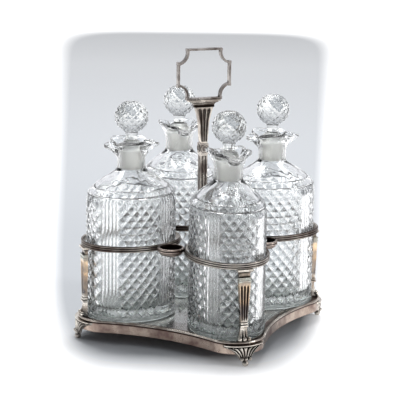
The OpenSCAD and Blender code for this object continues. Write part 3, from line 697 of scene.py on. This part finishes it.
def ball(centre, radius, steps=20):
    """Sphere as an upright half circle turned about its axis."""
    points, faces = revolved(arc((0, 0), radius, -90, 90, steps // 2 + 1), (0, 0), steps)
    return points + np.asarray(centre), faces


pilaster_plate = plate_material("pilaster plate", pilaster_reflection_tones, Worn=(0.32, 0.26, 0.21, 1),
                                Cloud_Scale=90.0, Reach=0.0025, Tarnish=1.0)
toes = [ball((0.0076 - 0.0008 * abs(i), toe_gap * i, rim_top + 0.0024), toe_r) for i in (-1, 0, 1)]
pad = block((0.0, -pad_half, tray_top), (0.0066, pad_half, rim_top + 0.0002))
for k, corner in enumerate(CORNERS):
    shaft_points, shaft_faces, recess = pilaster()
    points, faces = joined([(shaft_points, shaft_faces), *toes, pad])
    piece = new_piece("fluted_pilaster_" + corner, at_corner(points, k, pilaster_back), faces)
    mark_recess(piece, np.concatenate([np.ravel(recess), np.zeros(len(points) - recess.size)]))
    dress(turn_outwards(piece), pilaster_plate, "stand", "silver_plate", "pilaster_" + corner)


# Feet: fans cast with radiating ribs under a moulded top, three small beads and a ball toe, silver plated.
# Each is curved to the lobe of the tray and soldered to its apron.
fan_top = 0.0248
fan_low = 0.0080
fan_half_top = 0.0240
fan_cut_out = 0.0040
fan_cut_r = 0.0226
fan_cut_z = -0.0004
fan_thick = 0.0020
rib_share = 0.27
rib_height = 0.0020
bar_height = 0.0022
bar_low = 0.0019
toe_out = 0.0020
foot_toe_r = 0.0038
foot_toe_z = 0.0034
bead_gap = 0.0050


def foot_fan():
    """Curved plate round the lobe: a grid over the fan's width and height, proud of the apron by its ribs.

    The fan's half width follows an arc at each side, and the ribs are a cosine over shares of that width."""
    z = np.linspace(fan_low, fan_top, 34)[:, None]
    across = np.linspace(-1, 1, 85)[None, :]
    cut_in = fan_half_top + fan_cut_out - np.sqrt(np.maximum(fan_cut_r ** 2 - (z - fan_cut_z) ** 2, 0))
    ribs = (0.5 + 0.5 * np.cos(2 * math.pi * across / rib_share)) ** 0.4
    rib_zone = smooth_step(z, fan_top - bar_low, fan_top - 0.0027) * smooth_step(np.abs(across), 1.0, 0.93)
    bar = smooth_step(z, fan_top - bar_low, fan_top - 0.0013)
    proud = fan_thick + rib_height * ribs * rib_zone + bar_height * bar - 0.0006 * (1 - rib_zone) * (1 - bar)
    y = np.minimum(fan_half_top, cut_in) * across
    away = -lobe_r + np.sqrt((lobe_r + proud) ** 2 - y ** 2)
    behind = -lobe_r + np.sqrt((lobe_r + 0.0001) ** 2 - y ** 2)
    front = np.stack(np.broadcast_arrays(away, y, z), -1)
    rear = np.stack(np.broadcast_arrays(behind, y, z), -1)[:, ::-1]
    rows = np.concatenate([front, rear], 1)
    # Painted shade, with some tarnishing, in the hollows between the ribs.
    recess = np.clip(2.0 * (1 - ribs) * rib_zone - 0.5, 0, 1)
    return rows, capped_loft(rows), np.concatenate([recess, np.zeros_like(recess)], 1)


foot_plate = plate_material("foot plate", Bright=(0.74, 0.70, 0.63, 1), Worn=(0.40, 0.35, 0.31, 1),
                            Reach=0.0025, Tarnish=1.1)
sole = arc((0, foot_toe_z), foot_toe_r, -62, 90, 14)
toe = revolved(np.concatenate([[(0, 0)], sole]), (toe_out, 0), 28)
foot_neck = revolved([(0, 0.0062), (0.0030, 0.0062), (0.0024, 0.0076), (0.0032, 0.0098), (0, 0.0098)],
                     (toe_out, 0), 24)
beads = [ball((0.0040, bead_gap * i, 0.0090), 0.0022) for i in (-1, 0, 1)]
for k, corner in enumerate(CORNERS):
    fan_points, fan_faces, recess = foot_fan()
    points, faces = joined([(fan_points, fan_faces), toe, foot_neck, *beads])
    foot = new_piece("fan_foot_" + corner, at_corner(points, k, tray_reach), faces)
    mark_recess(foot, np.concatenate([np.ravel(recess), np.zeros(len(points) - recess.size)]))
    dress(turn_outwards(foot), foot_plate, "stand", "silver_plate", "foot_" + corner)


# Handle's head: a flat cast trumpet with three flutes on each broad face and a moulded cap, silver plated.
# It stands on the knop, takes the tie rod's upper end, and the loop is soldered to its cap.
head_low = 0.2321
head_height = 0.050
head_half_depth = 0.00425
stalk_half = 0.0040
stalk_slope = 0.1
stalk_height = 0.013
flare_r = 0.085
fluted_height = head_height - 0.0062
cap_half = 0.0205


def trumpet():
    """Loft whose half width runs straight, then follows an arc, with flutes front and back.

    Also gives each point's painted shade, with some tarnishing, in the flutes, and a painted shadow in the
    cove under the cap."""
    z = np.linspace(0, head_height - 0.0060, 70)
    flare = flare_r - np.sqrt(flare_r ** 2 - np.clip(z - stalk_height, 0, 1) ** 2)
    half = stalk_half + stalk_slope * np.minimum(z, stalk_height) + flare
    top = head_height
    outline = np.concatenate([np.stack([z, half, np.full_like(z, head_half_depth)], -1), [
        (top - 0.0058, 0.0130, 0.0030), (top - 0.0036, 0.0128, 0.0026), (top - 0.0014, 0.0138, 0.0034),
        (top, 0.0165, 0.0044), (top + 0.0001, 0.0175, 0.0046), (top + 0.0014, 0.0175, 0.0046),
        (top + 0.0015, cap_half, 0.00495), (top + 0.0030, cap_half, 0.00495)]])
    height, half, depth = (column[:, None] for column in outline.T)
    u = half * np.linspace(-1, 1, 49)[None, :]
    flutes = flute_depth(u, height, [0.57 * half * s for s in (-1, 0, 1)], 0.225 * half,
                         0.0030, head_height - 0.0100) * (height < fluted_height)
    v = depth - (0.0007 + 0.0009 * height / head_height) * flutes
    front = np.stack(np.broadcast_arrays(u, -v, height), -1)
    rear = np.stack(np.broadcast_arrays(u, v, height), -1)[:, ::-1]
    rows = np.concatenate([front, rear], 1)
    # Painted shadow in the cove under the cap.
    cove = (height > head_height - 0.0059) & (height < head_height - 0.0020)
    recess = np.maximum(np.clip(0.6 * flutes, 0, 1), cove)
    return (rows + np.array([0, 0, head_low]), capped_loft(rows),
            np.concatenate([recess, recess[:, ::-1]], 1))


points, faces, recess = trumpet()
plan = points[..., :2] @ np.array([[1, 1], [-1, 1]]) / math.sqrt(2)
head = mark_recess(new_piece("fluted_head", np.concatenate([plan, points[..., 2:]], -1), faces), recess)
dress(turn_outwards(head), silver, "stand", "silver_plate", "handle_head")


# Decanters: blown oval bottles of clear glass, cut outside with four panels of diamonds that face along
# and across the oval, and four groups of upright flutes between them. The neck's bore is ground.
dec_low = 0.0268
foot_round = 0.0025
wall_top = 0.1698
shoulder_height = 0.034
neck_r = 0.0169
lip_low = 0.2170
lip_edge = 0.2435
lip_thick = 0.0050
lip_end_drop = 0.0065
lip_side_drop = 0.0020
lip_least = 0.0212
lip_trim = 0.0012
star_height = 0.0006
cut_low = 0.0332
cut_high = 0.1770
cut_rows = 42
diamond_depth = 0.0026
panel_side_cut = 0.6 * diamond_depth
wall_end_cut = 0.8 * diamond_depth
flute_cut = 0.0011
panel_half = 0.030
panel_steps = 20
flute_count = 4
flute_steps = 6
bore_low = 0.2058
bore_high = 0.2298
bore_r = (0.01228, 0.01360)
glass_wall = 0.0055
cavity_low = 0.0398
cavity_shoulder = 0.165
heel_r = 0.007
line_low = 0.1785
line_high = 0.1852
line_rows = np.array([-0.0009, 0, 0.0009])
line_cut = 0.0016
thick_range = (0.034, 0.052)
line_range = (0.43, 0.48)
upper_range = (-0.02, 0.05)
wholly_cut = 0.98
groove_grain = 0.45
wave_scale = 70.0
wave_height = 0.0016
clear_tint = (0.975, 0.982, 0.982, 1)
thick_tint = (0.70, 0.76, 0.73, 1)
# Painted shade for the upper facets of the diamonds, standing for the dark floor and tray seen through them.
facet_painted_shade = (0.66, 0.68, 0.69, 1)


def oval_way(a, b, along):
    """Direction that the oval's outline faces at a distance along it from its long end.

    On each arc that distance is the radius times the change of direction."""
    end, side, meet = oval_radii(a, b)
    breaks = [0, meet, math.pi - meet, math.pi + meet, 2 * math.pi - meet, 2 * math.pi]
    lengths = np.cumsum([0, end * meet, side * (math.pi - 2 * meet), 2 * end * meet,
                         side * (math.pi - 2 * meet), end * meet])
    return np.interp(along % lengths[-1], lengths, breaks), lengths[-1]


def column_layout():
    """Each column's place along the oval, its step within a panel or flute group, and if it is a panel's."""
    quarter = oval_way(*dec_half, 0)[1] / 4
    panel = np.linspace(-panel_half, panel_half, panel_steps, endpoint=False)
    flutes = np.linspace(panel_half, quarter - panel_half, flute_count * flute_steps, endpoint=False)
    along = np.concatenate([np.concatenate([panel, flutes]) + k * quarter for k in range(4)])
    step = np.tile(np.concatenate([np.arange(panel_steps), np.arange(flute_count * flute_steps)]), 4)
    in_panel = np.tile(np.arange(panel_steps + flute_count * flute_steps) < panel_steps, 4)
    return along, step, in_panel


def diamond_relief(x, z):
    """Depth from 0 at a diamond's point to 1 in its groove, on a lattice with points 4 steps apart.

    It is twice the larger of the distances to whole numbers of (x + z) / 4 and (x - z) / 4."""
    u = (x + z) / 4
    v = (x - z) / 4
    return 2 * np.maximum(np.abs(u - np.round(u)), np.abs(v - np.round(v)))


def split_on_grooves(faces, x, z):
    """Cuts four-sided lattice faces in two along the diagonal that lies in a groove."""
    falls = (x - z) % 4 == 2
    a, b, c, d = faces.T
    first = np.where(falls[:, None], np.stack([a, b, c], -1), np.stack([a, b, d], -1))
    second = np.where(falls[:, None], np.stack([a, c, d], -1), np.stack([b, c, d], -1))
    return np.concatenate([first, second])


def pole_faces(rows, columns):
    """Triangles from a round grid's first and last rows to two middle points that are stored after it."""
    j = np.arange(columns)
    ahead = (j + 1) % columns
    middle = rows * columns
    last = middle - columns
    return np.concatenate([np.stack([np.full(columns, middle), ahead, j], -1),
                           np.stack([np.full(columns, middle + 1), last + j, last + ahead], -1)])


def lattice_marks(rows, columns, first, x, z, cut):
    """Each point's place on the diamond lattice and whether it is cut, where z and cut start at a row."""
    marks = np.zeros((3, rows, columns))
    marks[0] = x
    marks[1, first:first + len(z)] = z
    marks[2, first:first + len(z)] = cut
    return np.concatenate([marks.reshape(3, -1), np.zeros((3, 2))], 1)


def mark_cutting(piece, marks):
    """Stores the lattice marks of each point for the glass's material."""
    lattice = piece.data.attributes.new("cutting", "FLOAT_VECTOR", "POINT")
    lattice.data.foreach_set("vector", marks.T.ravel())
    return piece


def shoulder_share(height, low, tall):
    """Share of the body's half width left at a height on the shoulder: one less the square of the way up."""
    return 1 - (np.clip(height - low, 0, None) / tall) ** 2


def shoulder_half(full, neck, height, low, blend=0.0042):
    """Half width on the shoulder, which runs smoothly into the neck instead of crossing it."""
    over = (full - neck) * shoulder_share(height, low, shoulder_height)
    return neck + blend * np.logaddexp(0, over / blend)


def lip_reach(way, sharpness=420):
    """Radius of the lip in each direction: the outline of two end spouts and four round lobes.

    Each is a circle seen from the centre, and they are joined by a soft maximum."""
    spouts = [(s * 0.0259, 0, 0.0095) for s in (1, -1)]
    lobes = [(sx * 0.012, sy * 0.0146, 0.0100) for sx in (1, -1) for sy in (1, -1)]
    reaches = []
    for x, y, r in spouts + lobes:
        toward = x * np.cos(way) + y * np.sin(way)
        aside = x * np.sin(way) - y * np.cos(way)
        reaches.append(np.where((toward > 0) & (np.abs(aside) < r),
                                toward + np.sqrt(np.clip(r * r - aside * aside, 0, 1)), lip_least))
    return np.log(np.sum(np.exp(sharpness * np.array(reaches)), 0)) / sharpness - lip_trim


def oval_rows(way, half_a, half_b, height, relief=0):
    """Rows of the oval at given half axes and heights, moved in by a relief."""
    plan = oval(np.asarray(half_a)[:, None], np.asarray(half_b)[:, None], way)
    inwards = -np.stack([np.cos(way), np.sin(way)], -1)
    plan = plan + inwards * np.broadcast_to(relief, plan.shape[:2])[..., None]
    up = np.broadcast_to(np.asarray(height)[:, None, None], plan.shape[:2] + (1,))
    return np.concatenate([plan, up], -1)


def round_rows(way, radius, height):
    """Rows of circles, or of outlines whose radius and height change round them."""
    radius, height = np.broadcast_arrays(radius, height, way)[:2]
    return np.stack([radius * np.cos(way), radius * np.sin(way), height], -1)


def outside_rows(way, step, in_panel):
    """Bottom, its round corner, a plain foot, the cut wall and the shoulder up to the lip.

    Each diamond panel's first column, and the cut wall's first and last rows, are cut to one even depth,
    so that the diamonds end on a plain edge."""
    a, b = dec_half
    share = np.array([0.02, 0.12, 0.3, 0.5, 0.7, 0.85, 0.92])
    star = np.abs(np.mod(way * 10 / math.pi, 1) - 0.5) * 2
    bottom = oval_rows(way, a * share, b * share, np.full(len(share), dec_low))
    bottom[..., 2] += star_height * star * (share > 0.1)[:, None] * (share < 0.9)[:, None]
    bend = arc((-foot_round, foot_round), foot_round, -90, 0, 6)
    corner = oval_rows(way, a + bend[:, 0], b + bend[:, 0], dec_low + bend[:, 1])
    plain = oval_rows(way, np.full(3, a), np.full(3, b), [0.0305, 0.0320, cut_low - 0.0002])
    height = np.linspace(cut_low, cut_high, cut_rows + 1)
    steps_up = np.arange(cut_rows + 1)[:, None] - 2
    diamonds = diamond_depth * diamond_relief(step - panel_steps // 2, steps_up)
    flutes = flute_cut * np.sin(math.pi * (step % flute_steps) / flute_steps)
    relief = np.where(in_panel, diamonds, flutes + 0 * steps_up)
    relief[:, in_panel & (step == 0)] = panel_side_cut
    relief[[0, -1]] = wall_end_cut
    shrink = shoulder_share(height, wall_top, shoulder_height)
    cut = oval_rows(way, neck_r + (a - neck_r) * shrink, neck_r + (b - neck_r) * shrink, height, relief)
    upper = np.concatenate([[cut_high + 0.0003], line_low + line_rows, [0.1810, 0.1830],
                            line_high + line_rows, np.linspace(0.1875, 0.2120, 24), [0.2145, lip_low]])
    stepped = line_cut * np.isin(upper, [line_low, line_high]) + 0.0006 * (upper > line_high)
    stepped = stepped * np.clip((0.2050 - upper) / 0.0150, 0, 1)
    shoulder = oval_rows(way, shoulder_half(a, neck_r, upper, wall_top),
                         shoulder_half(b, neck_r, upper, wall_top), upper, stepped[:, None])
    return [bottom, corner, plain, cut, shoulder]


def lip_rows(way):
    """Underside of the lip, its thick rolled edge, and the bowl down to the bore.

    The underside and the bowl reach outwards by a power of the way up."""
    reach = lip_reach(way)
    edge = (lip_edge - lip_end_drop * np.abs(np.cos(way)) ** 4
            - lip_side_drop * np.abs(np.sin(way)) ** 8)
    rim_r = lip_thick / 2
    rise = np.linspace(0.08, 1, 12)[:, None]
    lower = round_rows(way, neck_r + (reach - rim_r - neck_r) * rise ** 1.9,
                       lip_low + (edge - lip_thick - lip_low) * rise)
    turn = np.radians(np.linspace(-70, 70, 7))[:, None]
    roll = round_rows(way, reach - rim_r + rim_r * np.cos(turn), edge - rim_r + rim_r * np.sin(turn))
    fall = rise[::-1]
    bowl = round_rows(way, bore_r[1] + (reach - rim_r - bore_r[1]) * fall ** 1.6,
                      bore_high + (edge - bore_high) * fall)
    return [lower, roll, bowl]


def inside_rows(way):
    """Ground bore, the cavity down its shoulder and wall, its round heel and its floor."""
    a, b = (half - glass_wall for half in dec_half)
    ground = np.linspace(0, 1, 6)[:, None]
    bore = round_rows(way, bore_r[1] + (bore_r[0] - bore_r[1]) * ground,
                      bore_high + (bore_low - bore_high) * ground)
    down = np.concatenate([[0.2050], np.linspace(0.2035, cavity_shoulder, 24), np.linspace(0.150, 0.060, 5)])
    cavity = oval_rows(way, shoulder_half(a, bore_r[0], down, cavity_shoulder),
                       shoulder_half(b, bore_r[0], down, cavity_shoulder), down)
    bend = arc((-heel_r, heel_r), heel_r, 0, -90, 6)
    heel = oval_rows(way, a + bend[:, 0], b + bend[:, 0], cavity_low + bend[:, 1])
    share = np.array([0.75, 0.5, 0.25, 0.02])
    base = oval_rows(way, a * share, b * share, np.full(len(share), cavity_low))
    return [bore, cavity, heel, base]


def decanter():
    """One closed surface of rows round the oval, from the bottom's middle up, over the lip and down inside.

    Returns its points, faces, which faces are flat, each face's finish (0 clear, 1 ground, 2 inside), and
    its lattice marks."""
    along, step, in_panel = column_layout()
    way = oval_way(*dec_half, along)[0]
    columns = len(way)
    parts = outside_rows(way, step, in_panel) + lip_rows(way) + inside_rows(way)
    rows = np.concatenate(parts)
    starts = np.cumsum([0] + [len(part) for part in parts])
    bottom_end, cut_start, cut_end, bore_start, bore_end = starts[[1, 3, 4, 8, 9]]
    faces = grid_faces(len(rows), columns, False, True)
    row = faces[:, 0] // columns
    column = faces[:, 0] % columns
    lattice = (row >= cut_start) & (row < cut_end - 1) & in_panel[column]
    split = split_on_grooves(faces[lattice], step[column[lattice]] - panel_steps // 2,
                             row[lattice] - cut_start - 2)
    row = row[~lattice]
    ground = ((row >= bore_start) & (row < bore_end - 1)) | (row < bottom_end - 1)
    caps = pole_faces(len(rows), columns)
    points = np.concatenate([rows.reshape(-1, 3), [(0, 0, dec_low), (0, 0, cavity_low)]])
    all_faces = faces[~lattice].tolist() + split.tolist() + caps.tolist()
    flat = np.concatenate([np.zeros(len(row), bool), np.ones(len(split), bool), np.zeros(len(caps), bool)])
    finish = np.concatenate([np.where(row >= bore_end, 2, ground), np.zeros(len(split), int),
                             np.repeat([1, 2], columns)])
    x = np.where(in_panel, step - panel_steps // 2, panel_steps // 2)
    z = np.arange(cut_rows + 1)[:, None] - 2
    return points, all_faces, flat, finish, lattice_marks(len(rows), columns, cut_start, x, z, in_panel)


def cutting_group():
    """Node group for diamond cutting: puts out the pale line of the grooves and where upper facets take a
    painted shade.

    A groove is where twice the larger distance of (x + z) / 4 and (x - z) / 4 to whole numbers nears 1,
    and a facet is an upper one where the first remainder is over the second."""
    group = bpy.data.node_groups.new("diamond cutting", "ShaderNodeTree")
    for name in ("Line", "Upper"):
        group.interface.new_socket(name, in_out="OUTPUT", socket_type="NodeSocketFloat")
    marks = add_node(group, "ShaderNodeAttribute", attribute_name="cutting").outputs["Vector"]
    marks = add_node(group, "ShaderNodeSeparateXYZ", {0: marks}).outputs
    nearness, remainder = [], []
    for operation in ("ADD", "SUBTRACT"):
        quarters = worked_out(group, operation, marks["X"], marks["Y"])
        quarters = worked_out(group, "MULTIPLY", quarters, 0.25)
        nearness.append(worked_out(group, "PINGPONG", quarters, 0.5))
        remainder.append(worked_out(group, "FRACT", worked_out(group, "ADD", quarters, 0.5)))
    line = ranged(group, worked_out(group, "MAXIMUM", *nearness), *line_range)
    above = ranged(group, worked_out(group, "SUBTRACT", *remainder), *upper_range)
    cut = worked_out(group, "GREATER_THAN", marks["Z"], wholly_cut)
    out = group.nodes.new("NodeGroupOutput").inputs
    for value, name in ((line, "Line"), (above, "Upper")):
        group.links.new(worked_out(group, "MULTIPLY", value, cut), out[name])
    return group


def glass_material(name, tint, deep_tint, rough, rough_above=None, cutting=None, shade=None):
    """Glass with the slow waves of blown glass, whose colour deepens towards its thick bottom.

    rough_above is its roughness over the wall's top. Where it is cut in diamonds, the upper facets take a
    painted shade, standing for the dark floor and tray seen through them, and the grooves are ground pale."""
    material, tree, shader = new_material(name, Roughness=rough, IOR=1.52, Transmission_Weight=1.0)
    place = object_place(tree)
    waves = add_node(tree, "ShaderNodeBump", {"Height": noise(tree, place, wave_scale, 1.0), "Strength": 0.5,
                                              "Distance": wave_height}).outputs[0]
    tree.links.new(waves, shader.inputs["Normal"])
    height = add_node(tree, "ShaderNodeSeparateXYZ", {0: place}).outputs["Z"]
    colour = mixed(tree, ranged(tree, height, *thick_range, 1.0, 0.0), tint, deep_tint)
    if rough_above is not None:
        blur = ranged(tree, height, wall_top - 0.008, wall_top + 0.010, rough, rough_above)
        tree.links.new(blur, shader.inputs["Roughness"])
    if cutting:
        cut = tree.nodes.new("ShaderNodeGroup")
        cut.node_tree = cutting
        colour = mixed(tree, cut.outputs["Upper"], colour, shade)
        grain = worked_out(tree, "MULTIPLY", cut.outputs["Line"], groove_grain)
        tree.links.new(grain, shader.inputs["Roughness"])
    tree.links.new(colour, shader.inputs["Base Color"])
    return material


diamond_cutting = cutting_group()
clear_glass = glass_material("clear cut glass", clear_tint, thick_tint, 0.0, None, diamond_cutting,
                             facet_painted_shade)
ground_glass = glass_material("ground glass", (0.88, 0.88, 0.85, 1), (0.60, 0.66, 0.63, 1), 0.5)
inner_glass = glass_material("blown inner wall", clear_tint, thick_tint, 0.22, 0.05)
dec_points, dec_faces, dec_flat, dec_finish, dec_marks = decanter()
for k, corner in enumerate(CORNERS):
    bottle = new_piece("cut_decanter_" + corner, at_corner(dec_points, k, dec_reach), dec_faces,
                       dec_flat, dec_finish)
    turn_outwards(mark_cutting(bottle, dec_marks), 50)
    bottle.data.materials.append(clear_glass)
    dress(bottle, ground_glass, "decanter_" + corner + "_body", "cut_glass", "decanter_" + corner)
    bottle.data.materials.append(inner_glass)


# Stoppers: solid glass balls cut all over with diamonds, on a short stem above a ground plug. Each is one
# piece of glass, and its plug is ground into its own decanter's neck.
ball_r = 0.0207
ball_half_height = 0.0196
ball_centre = 0.2687
ball_top = ball_centre + 0.955 * ball_half_height
ball_diamonds = 12
ball_cut = 0.085
stem_r = 0.0072
plug_r = (0.01220, 0.01352)
plug_low = 0.2058
plug_high = 0.2298
dome_high = 0.2398
ground_rows = 8
ball_tint = (0.82, 0.83, 0.82, 1)
# Painted shade for the upper facets of the ball's diamonds.
ball_painted_shade = (0.58, 0.60, 0.61, 1)


def stopper():
    """One closed surface on a grid: ground plug, domed shoulder, stem and a ball cut in diamonds.

    The ball's rows are even steps of the Mercator height, so that its diamonds keep their shape. Returns
    the same five as a decanter."""
    columns = 4 * ball_diamonds
    way = np.arange(columns) * 2 * math.pi / columns
    t = np.linspace(0, 1, 10) * math.pi / 2
    plug = np.linspace((plug_r[0], plug_low), (plug_r[1], plug_high), 6)
    shape = np.concatenate([
        [(0.0030, plug_low), (plug_r[0] - 0.0008, plug_low), (plug_r[0], plug_low + 0.0006)],
        plug[1:],
        np.stack([stem_r + (plug_r[1] - 0.0004 - stem_r) * np.cos(t) ** 0.9,
                  plug_high + 0.0003 + (dome_high - plug_high) * np.sin(t) ** 1.3], -1),
        [(stem_r - 0.0004, 0.2440), (stem_r - 0.0002, 0.2472), (stem_r + 0.0006, 0.2488)],
    ])
    lower = round_rows(way, shape[:, :1], shape[:, 1:])
    z = np.arange(-ball_diamonds, ball_diamonds + 1)[:, None]
    x = np.arange(columns)[None, :]
    latitude = 2 * np.arctan(np.exp(z * math.pi / 2 / ball_diamonds)) - math.pi / 2
    relief = 1 - ball_cut * diamond_relief(x, z) * np.cos(latitude)
    upper = round_rows(way, ball_r * np.cos(latitude) * relief,
                       ball_centre + ball_half_height * np.sin(latitude) * relief)
    rows = np.concatenate([lower, upper])
    faces = grid_faces(len(rows), columns, False, True)
    row = faces[:, 0] // columns
    lattice = row >= len(lower)
    split = split_on_grooves(faces[lattice], faces[lattice, 0] % columns,
                             row[lattice] - len(lower) - ball_diamonds)
    row = row[~lattice]
    caps = pole_faces(len(rows), columns)
    points = np.concatenate([rows.reshape(-1, 3), [(0, 0, plug_low), (0, 0, ball_top)]])
    flat = np.concatenate([np.zeros(len(row), bool), np.ones(len(split) + len(caps), bool)])
    finish = np.concatenate([row < ground_rows, np.zeros(len(split) + len(caps), bool)])
    marks = lattice_marks(len(rows), columns, len(lower), np.abs(x - 2 * ball_diamonds), z, 1)
    return points, faces[~lattice].tolist() + split.tolist() + caps.tolist(), flat, finish, marks


ball_glass = glass_material("cut ball glass", ball_tint, ball_tint, 0.0, None, diamond_cutting, ball_painted_shade)
plug_points, plug_faces, plug_flat, plug_finish, plug_marks = stopper()
for k, corner in enumerate(CORNERS):
    piece = new_piece("ball_stopper_" + corner, at_corner(plug_points, k, dec_reach), plug_faces,
                      plug_flat, plug_finish)
    turn_outwards(mark_cutting(piece, plug_marks), 50)
    piece.data.materials.append(ball_glass)
    dress(piece, ground_glass, "stopper_" + corner + "_body", "cut_glass", "stopper_" + corner)


# Post, knop, handle loop and the fittings under the tray keep their solids. The post's tube, the cast knop
# and the loop's strip are silver plated, and the tie rod, washer and nuts are bare brass.
strip_plate = plate_material("strip plate", Bright=(0.34, 0.31, 0.29, 1), Worn=(0.10, 0.08, 0.07, 1))
post_plate = plate_material("post plate", Bright=(0.56, 0.51, 0.46, 1), Worn=(0.20, 0.16, 0.14, 1),
                            Reach=0.003, Tarnish=2.2)
bare_brass = plate_material("bare brass", Bright=(0.62, 0.48, 0.27, 1), Worn=(0.42, 0.31, 0.18, 1))
own_metal = {"handle_loop": strip_plate, "centre_post": post_plate, "knop": post_plate}
own_metal.update(dict.fromkeys(("tie_rod", "rod_washer", "wing_nut", "pilaster_nuts"), bare_brass))
for node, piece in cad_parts.items():
    if not piece.hide_render:
        piece.data.materials.clear()
        piece.data.materials.append(own_metal.get(node, silver))
